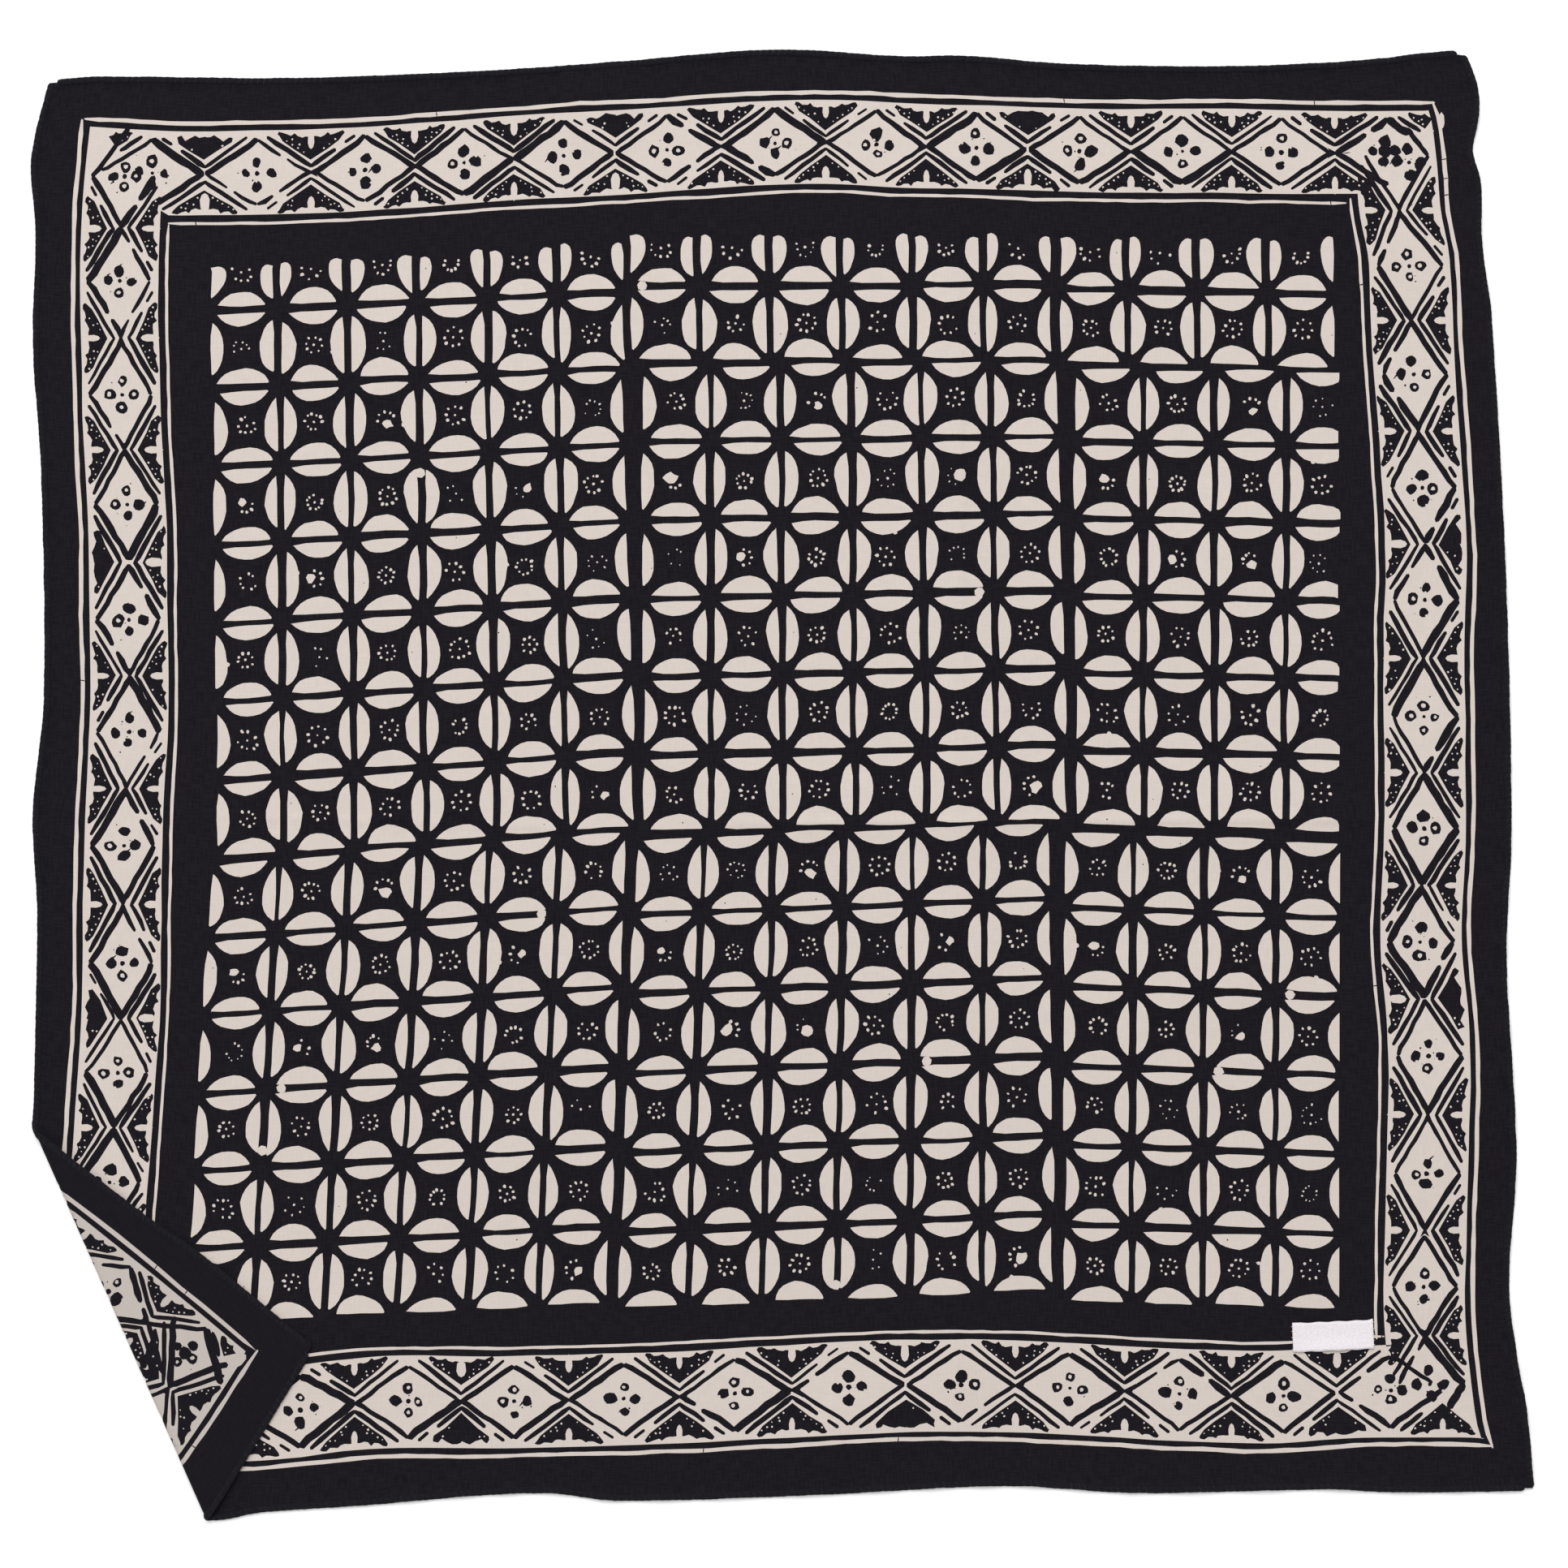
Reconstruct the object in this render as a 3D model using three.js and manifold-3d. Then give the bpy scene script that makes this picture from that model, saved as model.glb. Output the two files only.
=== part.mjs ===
// A square cotton bandana laid out flat, face up, with its lower left corner turned over onto the face.
// Millimetres, +Z up, +Y towards the top edge. The surface that it lies on is z = 0.
//
// The outline is four sides, each a chord between two corners with a short table of how far the edge
// lies outside that chord. A point of the cloth is found from its two fractions across the square.
// The corner past the fold line is the same cloth, mirrored in that line and laid on top.

import * as THREE from "three";
import Module from "manifold-3d";

const wasm = await Module();
wasm.setup();

// Driving sizes

const CLOTH_THICKNESS = 1.0;
const SEAM_GAP = 0.3;
const HEM_WIDTH = 2.4;
const HEM_HEIGHT = 1.6;
const HEM_BEVEL = 0.5;
const HEM_SHOULDER = 0.64;
const CLOTH_SPAN = 540;

const CORNERS = {
  topLeft: { x: -271.5, y: 260.7, inwardX: 1, inwardY: -1 },
  topRight: { x: 252.3, y: 270.9, inwardX: -1, inwardY: -1 },
  bottomRight: { x: 277.5, y: -260.7, inwardX: -1, inwardY: 1 },
  bottomLeft: { x: -286.8, y: -258.0, inwardX: 1, inwardY: 1 },
};

// Each side runs left to right or top to bottom. along is the place on its chord, out is how far the edge
// stands outside the chord there, and lift is how high the puckers of the hem rise there.
const SIDES = {
  left: {
    from: CORNERS.topLeft,
    to: CORNERS.bottomLeft,
    outwardX: -1,
    outwardY: 0,
    puckers: 25,
    rows: [
      { along: 0, out: 0, lift: 0.5 },
      { along: 25, out: 5.3, lift: 1.2 },
      { along: 37, out: 5.2, lift: 1.0 },
      { along: 55, out: 3.1, lift: 0.8 },
      { along: 97, out: 2.9, lift: 1.1 },
      { along: 145, out: -1.6, lift: 0.7 },
      { along: 229, out: -5.0, lift: 1.0 },
      { along: 271, out: -2.2, lift: 0.6 },
      { along: 307, out: -4.9, lift: 0.3 },
      { along: 345, out: -5.5, lift: 0 },
      { along: 385, out: -5.6, lift: 0 },
      { along: 441, out: -3.6, lift: 0 },
      { along: 464, out: -1.2, lift: 0 },
      { along: 519, out: 0, lift: 0 },
    ],
  },
  right: {
    from: CORNERS.topRight,
    to: CORNERS.bottomRight,
    outwardX: 1,
    outwardY: 0,
    puckers: 27,
    rows: [
      { along: 0, out: 0, lift: 0.6 },
      { along: 11, out: 3.6, lift: 1.0 },
      { along: 23, out: 3.7, lift: 1.3 },
      { along: 35, out: 0.8, lift: 1.0 },
      { along: 47, out: 3.2, lift: 1.2 },
      { along: 71, out: 2.7, lift: 1.4 },
      { along: 95, out: 4.8, lift: 1.1 },
      { along: 191, out: 5.6, lift: 1.5 },
      { along: 287, out: 3.2, lift: 1.2 },
      { along: 335, out: -0.9, lift: 1.6 },
      { along: 407, out: -0.7, lift: 1.3 },
      { along: 455, out: -5.7, lift: 1.0 },
      { along: 479, out: -4.4, lift: 1.2 },
      { along: 503, out: -1.3, lift: 1.4 },
      { along: 531, out: 0, lift: 0.6 },
    ],
  },
  top: {
    from: CORNERS.topLeft,
    to: CORNERS.topRight,
    outwardX: 0,
    outwardY: 1,
    puckers: 24,
    rows: [
      { along: 0, out: 0, lift: 0.5 },
      { along: 18, out: 0.9, lift: 0.8 },
      { along: 90, out: -1.0, lift: 0.6 },
      { along: 162, out: 0.3, lift: 0.8 },
      { along: 210, out: 2.6, lift: 0.7 },
      { along: 270, out: 6.0, lift: 0.9 },
      { along: 318, out: 2.6, lift: 0.6 },
      { along: 342, out: 2.3, lift: 0.8 },
      { along: 378, out: -1.3, lift: 0.9 },
      { along: 438, out: -3.4, lift: 0.7 },
      { along: 486, out: -2.3, lift: 1.2 },
      { along: 522, out: 0.7, lift: 1.0 },
      { along: 527, out: 0, lift: 0.6 },
    ],
  },
  bottom: {
    from: CORNERS.bottomLeft,
    to: CORNERS.bottomRight,
    outwardX: 0,
    outwardY: -1,
    puckers: 26,
    rows: [
      { along: 0, out: 0, lift: 0 },
      { along: 53, out: 10.0, lift: 0 },
      { along: 75, out: 13.1, lift: 0 },
      { along: 93, out: 10.1, lift: 0 },
      { along: 129, out: 7.5, lift: 0.4 },
      { along: 177, out: 3.3, lift: 0.9 },
      { along: 201, out: 2.6, lift: 0.7 },
      { along: 225, out: 5.2, lift: 1.0 },
      { along: 297, out: 2.8, lift: 0.8 },
      { along: 369, out: -0.9, lift: 1.1 },
      { along: 417, out: 1.4, lift: 0.8 },
      { along: 489, out: -0.2, lift: 1.2 },
      { along: 513, out: 0.7, lift: 0.9 },
      { along: 564, out: 0, lift: 0.6 },
    ],
  },
};

// The puckers of the hem die out this far into the cloth, and draw the edge in by this share of their height.
const PUCKER_REACH = 12;
const PUCKER_DRAW_IN = 0.35;
const PUCKER_DRIFT = 0.35;
const PUCKER_DRIFTS = 3;

// Soft press folds and wrinkles of the laid cloth: two ends, height and half width of each low ridge.
const RIDGES = [
  { fromX: 62, fromY: 262, toX: 66, toY: -255, height: 1.3, halfWidth: 24 },
  { fromX: -96, fromY: 240, toX: -40, toY: 262, height: 2.0, halfWidth: 26 },
  { fromX: -50, fromY: -6, toX: 272, toY: -14, height: 1.1, halfWidth: 24 },
  { fromX: 150, fromY: 258, toX: 262, toY: 180, height: 1.6, halfWidth: 30 },
  { fromX: -262, fromY: 226, toX: -190, toY: 120, height: 1.5, halfWidth: 30 },
  { fromX: 268, fromY: -60, toX: 236, toY: -170, height: 1.4, halfWidth: 28 },
  { fromX: -30, fromY: -254, toX: 60, toY: -222, height: 1.2, halfWidth: 26 },
];
const RIDGE_END_FADE = 40;

// The edge of the fold that shows, from the left side to the bottom side, and the soft roll along it.
const FOLD_START = { x: -277.7, y: -124.4 };
const FOLD_END = { x: -212.6, y: -271.7 };
const FOLD_PUFF = 1.7;
const FOLD_PUFF_REACH = 16;
const FLAP_BLUNT = 0.022;
const ROLL_LIP = 0.5;

// A small woven label, sewn on near the lower right corner.
const LABEL = { centreX: 203.8, centreY: -203.9, length: 31.2, width: 11.7, thickness: 1.0, turn: 2.5 };

// Mesh fineness

const PANEL_CELLS = 34;
const EDGE_STATIONS = 104;
const BEND_STEPS = 8;
const FLAP_COLUMNS = 14;
const FLAP_ROWS = 14;
const TURNED_HEM_STATIONS = 24;
const LABEL_COLUMNS = 8;
const LABEL_ROWS = 4;
const CROSSING_HALVINGS = 40;
const TRIM_REACH = 400;
const TRIM_HEIGHT = 30;

const COLOURS = {
  ink: 0x1f1e23,
  hemInk: 0x24232a,
  back: 0x2b2a30,
  white: 0xe6ded8,
};
const CLOTH_ROUGHNESS = 0.92;
const LABEL_ROUGHNESS = 0.8;

const mix = (a, b, t) => a + (b - a) * t;

// The value of one column of a table at a place, on a smooth curve through its rows.
function tableValue(rows, along, column) {
  const last = rows.length - 1;
  const place = Math.min(Math.max(along, rows[0].along), rows[last].along);
  let k = 0;
  while (k < last - 1 && place > rows[k + 1].along) {
    k += 1;
  }
  const slope = (i) => {
    const before = rows[Math.max(i - 1, 0)];
    const after = rows[Math.min(i + 1, last)];
    return (after[column] - before[column]) / (after.along - before.along);
  };
  const span = rows[k + 1].along - rows[k].along;
  const s = (place - rows[k].along) / span;
  const fromStart = (1 + 2 * s) * (1 - s) ** 2 * rows[k][column] + s * (1 - s) ** 2 * span * slope(k);
  const fromEnd = s * s * (3 - 2 * s) * rows[k + 1][column] + s * s * (s - 1) * span * slope(k + 1);
  return fromStart + fromEnd;
}

// A corner of the square that lies a given inset inside the outer edge.
function insetCorner(corner, inset) {
  return { x: corner.x + corner.inwardX * inset, y: corner.y + corner.inwardY * inset };
}

// A point on one side of that inset square.
function sidePoint(side, t, inset) {
  const from = insetCorner(side.from, inset);
  const to = insetCorner(side.to, inset);
  const out = tableValue(side.rows, t * side.rows[side.rows.length - 1].along, "out");
  return {
    x: mix(from.x, to.x, t) + side.outwardX * out,
    y: mix(from.y, to.y, t) + side.outwardY * out,
  };
}

// How high a pucker stands at a place on a side.
function puckerHeight(side, t) {
  const height = Math.max(tableValue(side.rows, t * side.rows[side.rows.length - 1].along, "lift"), 0);
  const turns = side.puckers * t + PUCKER_DRIFT * Math.sin(2 * Math.PI * PUCKER_DRIFTS * t);
  return height * (0.5 - 0.5 * Math.cos(2 * Math.PI * turns));
}

// How high the press folds and wrinkles stand at a place in plan.
function ridgeHeight(x, y) {
  let height = 0;
  for (const ridge of RIDGES) {
    const alongX = ridge.toX - ridge.fromX;
    const alongY = ridge.toY - ridge.fromY;
    const length = Math.hypot(alongX, alongY);
    const along = ((x - ridge.fromX) * alongX + (y - ridge.fromY) * alongY) / length;
    const across = Math.abs((x - ridge.fromX) * alongY - (y - ridge.fromY) * alongX) / length;
    const inside = Math.min(along, length - along);
    if (across < ridge.halfWidth && inside > 0) {
      const ends = Math.min(inside / RIDGE_END_FADE, 1);
      const soft = ends * ends * (3 - 2 * ends);
      height += ridge.height * soft * Math.cos((Math.PI / 2) * (across / ridge.halfWidth)) ** 2;
    }
  }
  return height;
}

// A point of the laid cloth: across and down are its fractions of the inset square. z is its underside.
function clothPoint(across, down, inset) {
  const left = sidePoint(SIDES.left, down, inset);
  const right = sidePoint(SIDES.right, down, inset);
  const top = sidePoint(SIDES.top, across, inset);
  const bottom = sidePoint(SIDES.bottom, across, inset);
  const corners = ["topLeft", "topRight", "bottomLeft", "bottomRight"].map((name) =>
    insetCorner(CORNERS[name], inset)
  );
  const blend = (axis) => {
    const between = mix(left[axis], right[axis], across) + mix(top[axis], bottom[axis], down);
    const upper = mix(corners[0][axis], corners[1][axis], across);
    const lower = mix(corners[2][axis], corners[3][axis], across);
    return between - mix(upper, lower, down);
  };
  const point = new THREE.Vector3(blend("x"), blend("y"), 0);
  point.z = ridgeHeight(point.x, point.y);
  const edges = [
    { side: SIDES.left, t: down, distance: inset + across * CLOTH_SPAN },
    { side: SIDES.right, t: down, distance: inset + (1 - across) * CLOTH_SPAN },
    { side: SIDES.top, t: across, distance: inset + down * CLOTH_SPAN },
    { side: SIDES.bottom, t: across, distance: inset + (1 - down) * CLOTH_SPAN },
  ];
  for (const { side, t, distance } of edges) {
    if (distance < PUCKER_REACH) {
      const height = puckerHeight(side, t) * (1 - distance / PUCKER_REACH) ** 2;
      point.x -= side.outwardX * height * PUCKER_DRAW_IN;
      point.y -= side.outwardY * height * PUCKER_DRAW_IN;
      point.z += height;
    }
  }
  return point;
}

// Fold geometry: the line that shows, its direction, and the side of it that is turned over.

const foldLength = Math.hypot(FOLD_END.x - FOLD_START.x, FOLD_END.y - FOLD_START.y);
const foldAlong = {
  x: (FOLD_END.x - FOLD_START.x) / foldLength,
  y: (FOLD_END.y - FOLD_START.y) / foldLength,
};
const foldBeyond = { x: foldAlong.y, y: -foldAlong.x };
const flapUnderside = CLOTH_THICKNESS + SEAM_GAP;
const rollRadius = (flapUnderside + FOLD_PUFF) / 2;
const rollReach = rollRadius + CLOTH_THICKNESS / 2;

const beyondFold = (p) => (p.x - FOLD_START.x) * foldBeyond.x + (p.y - FOLD_START.y) * foldBeyond.y;
const alongFold = (p) => (p.x - FOLD_START.x) * foldAlong.x + (p.y - FOLD_START.y) * foldAlong.y;

// A place by its distance along the fold and past it.
function foldPlace(along, beyond) {
  return {
    x: FOLD_START.x + foldAlong.x * along + foldBeyond.x * beyond,
    y: FOLD_START.y + foldAlong.y * along + foldBeyond.y * beyond,
  };
}

// The same place on the turned over cloth.
const turnedOver = (p) => foldPlace(alongFold(p), -beyondFold(p));

// The underside of the turned over cloth, which rises softly towards the fold.
function turnedHeight(p) {
  const distance = Math.max(-beyondFold(p) - rollReach, 0);
  return flapUnderside + FOLD_PUFF * Math.exp(-((distance / FOLD_PUFF_REACH) ** 2));
}

// Where a side of an inset square lies a given distance past the fold line.
function foldCrossing(side, inset, beyond, inside, outside) {
  let near = inside;
  let far = outside;
  for (let step = 0; step < CROSSING_HALVINGS; step += 1) {
    const middle = (near + far) / 2;
    if (beyondFold(sidePoint(side, middle, inset)) < beyond) {
      near = middle;
    } else {
      far = middle;
    }
  }
  return (near + far) / 2;
}
const leftCrossing = (inset, beyond) => foldCrossing(SIDES.left, inset, beyond, 0.5, 1);
const bottomCrossing = (inset, beyond) => foldCrossing(SIDES.bottom, inset, beyond, 0.5, 0);

// Closed bodies

// A grid of cells as corner fractions, triangles and its rim in order.
function gridSheet(columns, rows) {
  const places = [];
  const triangles = [];
  const at = (i, j) => j * (columns + 1) + i;
  for (let j = 0; j <= rows; j += 1) {
    for (let i = 0; i <= columns; i += 1) {
      places.push({ across: i / columns, down: j / rows });
      if (i < columns && j < rows) {
        triangles.push([at(i, j), at(i, j + 1), at(i + 1, j + 1)]);
        triangles.push([at(i, j), at(i + 1, j + 1), at(i + 1, j)]);
      }
    }
  }
  const rim = [];
  for (let j = 0; j < rows; j += 1) {
    rim.push(at(0, j));
  }
  for (let i = 0; i < columns; i += 1) {
    rim.push(at(i, rows));
  }
  for (let j = rows; j > 0; j -= 1) {
    rim.push(at(columns, j));
  }
  for (let i = columns; i > 0; i -= 1) {
    rim.push(at(i, 0));
  }
  return { places, triangles, rim };
}

// A coarse grid with a strip round it that meets a rim of many more stations.
function borderedSheet(cells, stations, strip) {
  const inner = gridSheet(cells, cells);
  const places = inner.places.map(({ across, down }) => ({
    across: mix(strip, 1 - strip, across),
    down: mix(strip, 1 - strip, down),
  }));
  const triangles = inner.triangles;
  const first = places.length;
  const turns = [
    { fromX: 0, fromY: 0, toX: 0, toY: 1 },
    { fromX: 0, fromY: 1, toX: 1, toY: 1 },
    { fromX: 1, fromY: 1, toX: 1, toY: 0 },
    { fromX: 1, fromY: 0, toX: 0, toY: 0 },
  ];
  for (const turn of turns) {
    for (let i = 0; i < stations; i += 1) {
      places.push({
        across: mix(turn.fromX, turn.toX, i / stations),
        down: mix(turn.fromY, turn.toY, i / stations),
      });
    }
  }
  const rim = Array.from({ length: 4 * stations }, (_, i) => first + i);
  for (let quarter = 0; quarter < 4; quarter += 1) {
    let i = 0;
    let j = 0;
    while (i < stations || j < cells) {
      const outer = rim[(quarter * stations + i) % rim.length];
      const nextOuter = rim[(quarter * stations + i + 1) % rim.length];
      const within = inner.rim[(quarter * cells + j) % inner.rim.length];
      const nextWithin = inner.rim[(quarter * cells + j + 1) % inner.rim.length];
      if (j === cells || (i < stations && (i + 0.5) / stations < (j + 0.5) / cells)) {
        triangles.push([outer, nextOuter, within]);
        i += 1;
      } else {
        triangles.push([outer, nextWithin, within]);
        j += 1;
      }
    }
  }
  return { places, triangles, rim };
}

// Turns a body's faces outwards where they all point in.
function facingOut(body) {
  let volume = 0;
  for (const [a, b, c] of body.triangles) {
    const cross = new THREE.Vector3().crossVectors(body.points[b], body.points[c]);
    volume += body.points[a].dot(cross);
  }
  if (volume < 0) {
    body.triangles = body.triangles.map(([a, b, c]) => [a, c, b]);
  }
  return body;
}

// A wall: the sheet once through its upper points and once through its lower points, closed round the rim.
function wall(sheet, upperPoint, lowerPoint) {
  const count = sheet.places.length;
  const points = [...sheet.places.map(upperPoint), ...sheet.places.map(lowerPoint)];
  const triangles = [];
  for (const [a, b, c] of sheet.triangles) {
    triangles.push([a, b, c]);
    triangles.push([a + count, c + count, b + count]);
  }
  sheet.rim.forEach((a, i) => {
    const b = sheet.rim[(i + 1) % sheet.rim.length];
    triangles.push([a, a + count, b + count]);
    triangles.push([a, b + count, b]);
  });
  return facingOut({ points, triangles });
}

// A bar through closed sections of equal point counts.
function bar(sections) {
  const sides = sections[0].length;
  const points = sections.flat();
  const triangles = [];
  for (let k = 0; k < sections.length - 1; k += 1) {
    for (let i = 0; i < sides; i += 1) {
      const next = (i + 1) % sides;
      triangles.push([k * sides + i, k * sides + next, (k + 1) * sides + next]);
      triangles.push([k * sides + i, (k + 1) * sides + next, (k + 1) * sides + i]);
    }
  }
  const end = (sections.length - 1) * sides;
  for (let i = 1; i < sides - 1; i += 1) {
    triangles.push([0, i + 1, i]);
    triangles.push([end, end + i, end + i + 1]);
  }
  return facingOut({ points, triangles });
}

const asManifold = (body) =>
  new wasm.Manifold(
    new wasm.Mesh({
      numProp: 3,
      vertProperties: new Float32Array(body.points.flatMap((p) => [p.x, p.y, p.z])),
      triVerts: new Uint32Array(body.triangles.flat()),
    })
  );

function fromManifold(manifold) {
  const mesh = manifold.getMesh();
  const points = [];
  for (let i = 0; i < mesh.vertProperties.length; i += mesh.numProp) {
    points.push(new THREE.Vector3().fromArray(mesh.vertProperties, i));
  }
  const triangles = [];
  for (let i = 0; i < mesh.triVerts.length; i += 3) {
    triangles.push([mesh.triVerts[i], mesh.triVerts[i + 1], mesh.triVerts[i + 2]]);
  }
  return { points, triangles };
}

// Everything past a line beside the fold, tall enough to trim any piece there.
function beyondBlock(beyond) {
  const sheet = gridSheet(1, 1);
  const corner = ({ across, down }) =>
    foldPlace(mix(-TRIM_REACH, TRIM_REACH, across), mix(beyond, TRIM_REACH, down));
  const raised = (place, z) => {
    const { x, y } = corner(place);
    return new THREE.Vector3(x, y, z);
  };
  const top = (place) => raised(place, TRIM_HEIGHT);
  const base = (place) => raised(place, -TRIM_HEIGHT);
  return asManifold(wall(sheet, top, base));
}

const seamLine = -(rollReach + SEAM_GAP);
const trimAtFold = (body) => fromManifold(asManifold(body).subtract(beyondBlock(seamLine)));

const panelInset = HEM_WIDTH + SEAM_GAP;

// The laid cloth, up to the fold
function clothPanel() {
  const sheet = borderedSheet(PANEL_CELLS, EDGE_STATIONS, (PUCKER_REACH - panelInset) / CLOTH_SPAN);
  const under = ({ across, down }) => clothPoint(across, down, panelInset);
  const over = (place) => {
    const point = under(place);
    point.z += CLOTH_THICKNESS;
    return point;
  };
  return trimAtFold(wall(sheet, over, under));
}

// The roll of cloth along the fold, as wide as the whole cloth there
function foldRoll() {
  const ends = (beyond) => ({
    start: alongFold(sidePoint(SIDES.left, leftCrossing(0, beyond), 0)),
    finish: alongFold(sidePoint(SIDES.bottom, bottomCrossing(0, beyond), 0)),
  });
  const lower = ends(-rollReach);
  const upper = ends(rollReach);
  const steps = BEND_STEPS + 1;
  const skin = ({ across, down }, offset) => {
    const step = Math.round(down * steps);
    const turned = Math.min(step / BEND_STEPS, 1);
    const angle = (turned - 0.5) * Math.PI;
    const radius = rollRadius + offset;
    const along = mix(mix(lower.start, upper.start, turned), mix(lower.finish, upper.finish, turned), across);
    const inward = step > BEND_STEPS ? ROLL_LIP : 0;
    const place = foldPlace(along, radius * Math.cos(angle) - rollReach - inward);
    return new THREE.Vector3(place.x, place.y, CLOTH_THICKNESS / 2 + rollRadius + radius * Math.sin(angle));
  };
  const outside = (place) => skin(place, CLOTH_THICKNESS / 2);
  const inside = (place) => skin(place, -CLOTH_THICKNESS / 2);
  return wall(gridSheet(FLAP_COLUMNS, steps), outside, inside);
}

// The turned over triangle, from the roll to its blunt tip
function foldFlap() {
  const leftStart = leftCrossing(panelInset, rollReach);
  const bottomStart = bottomCrossing(panelInset, rollReach);
  const under = ({ across, down }) => {
    const reach = down * (1 - FLAP_BLUNT);
    const onLeft = sidePoint(SIDES.left, mix(leftStart, 1, reach), panelInset);
    const onBottom = sidePoint(SIDES.bottom, mix(bottomStart, 0, reach), panelInset);
    const place = turnedOver({ x: mix(onLeft.x, onBottom.x, across), y: mix(onLeft.y, onBottom.y, across) });
    return new THREE.Vector3(place.x, place.y, turnedHeight(place));
  };
  const over = (place) => {
    const point = under(place);
    point.z += CLOTH_THICKNESS;
    return point;
  };
  return wall(gridSheet(FLAP_COLUMNS, FLAP_ROWS), over, under);
}

const foldedCorner = () => fromManifold(asManifold(foldRoll()).add(asManifold(foldFlap())));

// Section of the rolled hem: distance in from the outer edge and height above the surface.
const HEM_SECTION = [
  { inset: 0, height: HEM_SHOULDER },
  { inset: HEM_BEVEL, height: 0 },
  { inset: HEM_WIDTH - HEM_BEVEL, height: 0 },
  { inset: HEM_WIDTH, height: HEM_SHOULDER },
  { inset: HEM_WIDTH - HEM_BEVEL, height: HEM_HEIGHT },
  { inset: HEM_BEVEL, height: HEM_HEIGHT },
];
// Each hem stops this share of a side before the corner, which leaves the seam gap between two mitres.
const MITRE_GAP = SEAM_GAP / CLOTH_SPAN;

// A rolled hem along one whole side, mitred at the corners, and trimmed at the fold where that crosses it
function hem(place) {
  const sections = [];
  for (let k = 0; k <= EDGE_STATIONS; k += 1) {
    const t = mix(MITRE_GAP, 1 - MITRE_GAP, k / EDGE_STATIONS);
    sections.push(
      HEM_SECTION.map(({ inset, height }) => {
        const point = place(t, inset);
        point.z += height;
        return point;
      })
    );
  }
  return bar(sections);
}

// The hem of a side past the fold, which lies on top with the turned over corner
function turnedHem(side, start, end) {
  const sections = [];
  for (let k = 0; k <= TURNED_HEM_STATIONS; k += 1) {
    const t = mix(start, end, k / TURNED_HEM_STATIONS);
    sections.push(
      HEM_SECTION.map(({ inset, height }) => {
        const place = turnedOver(sidePoint(side, t, inset));
        return new THREE.Vector3(place.x, place.y, turnedHeight(place) + height);
      })
    );
  }
  return fromManifold(asManifold(bar(sections)).subtract(beyondBlock(seamLine - SEAM_GAP)));
}

// The label, on the cloth's upper points moved up by the seam gap
function labelPatch() {
  const turn = THREE.MathUtils.degToRad(LABEL.turn);
  const under = ({ across, down }) => {
    const along = (across - 0.5) * LABEL.length;
    const up = (0.5 - down) * LABEL.width;
    const x = LABEL.centreX + along * Math.cos(turn) - up * Math.sin(turn);
    const y = LABEL.centreY + along * Math.sin(turn) + up * Math.cos(turn);
    return new THREE.Vector3(x, y, ridgeHeight(x, y) + CLOTH_THICKNESS + SEAM_GAP);
  };
  const over = (place) => {
    const point = under(place);
    point.z += LABEL.thickness;
    return point;
  };
  return wall(gridSheet(LABEL_COLUMNS, LABEL_ROWS), over, under);
}

// The scene

function clothMaterial(color, roughness) {
  return new THREE.MeshStandardMaterial({ color, roughness, metalness: 0, side: THREE.FrontSide });
}

function named(name, body, material) {
  const geometry = new THREE.BufferGeometry();
  const positions = body.points.flatMap((p) => [p.x, p.y, p.z]);
  geometry.setAttribute("position", new THREE.Float32BufferAttribute(positions, 3));
  geometry.setIndex(body.triangles.flat());
  geometry.computeVertexNormals();
  const mesh = new THREE.Mesh(geometry, material);
  mesh.name = name;
  return mesh;
}

const bandana = new THREE.Group();
bandana.name = "bandana";
bandana.add(named("cloth_panel", clothPanel(), clothMaterial(COLOURS.ink, CLOTH_ROUGHNESS)));
bandana.add(named("folded_corner", foldedCorner(), clothMaterial(COLOURS.back, CLOTH_ROUGHNESS)));

const hemPlaces = {
  hem_top: (t, inset) => clothPoint(t, 0, inset),
  hem_right: (t, inset) => clothPoint(1, t, inset),
  hem_bottom: (t, inset) => clothPoint(t, 1, inset),
  hem_left: (t, inset) => clothPoint(0, t, inset),
};
const crossedByFold = ["hem_bottom", "hem_left"];
for (const [name, place] of Object.entries(hemPlaces)) {
  const body = crossedByFold.includes(name) ? trimAtFold(hem(place)) : hem(place);
  bandana.add(named(name, body, clothMaterial(COLOURS.hemInk, CLOTH_ROUGHNESS)));
}

const turnedHems = {
  hem_left_turned: turnedHem(SIDES.left, leftCrossing(0, 0), 1 - MITRE_GAP),
  hem_bottom_turned: turnedHem(SIDES.bottom, bottomCrossing(0, 0), MITRE_GAP),
};
for (const [name, body] of Object.entries(turnedHems)) {
  bandana.add(named(name, body, clothMaterial(COLOURS.hemInk, CLOTH_ROUGHNESS)));
}

bandana.add(named("label", labelPatch(), clothMaterial(COLOURS.white, LABEL_ROUGHNESS)));

// The origin is the middle of the laid cloth, on the surface that it lies on.
const extent = new THREE.Box3().setFromObject(bandana);
bandana.position.set(-(extent.min.x + extent.max.x) / 2, -(extent.min.y + extent.max.y) / 2, -extent.min.z);
bandana.updateMatrixWorld(true);

export default bandana;
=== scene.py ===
"""A square cotton bandana with a block printed pattern, laid flat with its lower left corner turned over.

The drawing sizes are millimetres in plan, as the cloth lies, and the made meshes are metres. The cloth is one
thin shell. Its print is drawn as closed outlines in the unfolded plan, and the cloth's faces are cut along
them, so that each face is either dyed or left white. The corner past the fold line is then rolled over.
"""

import math
import random

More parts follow.
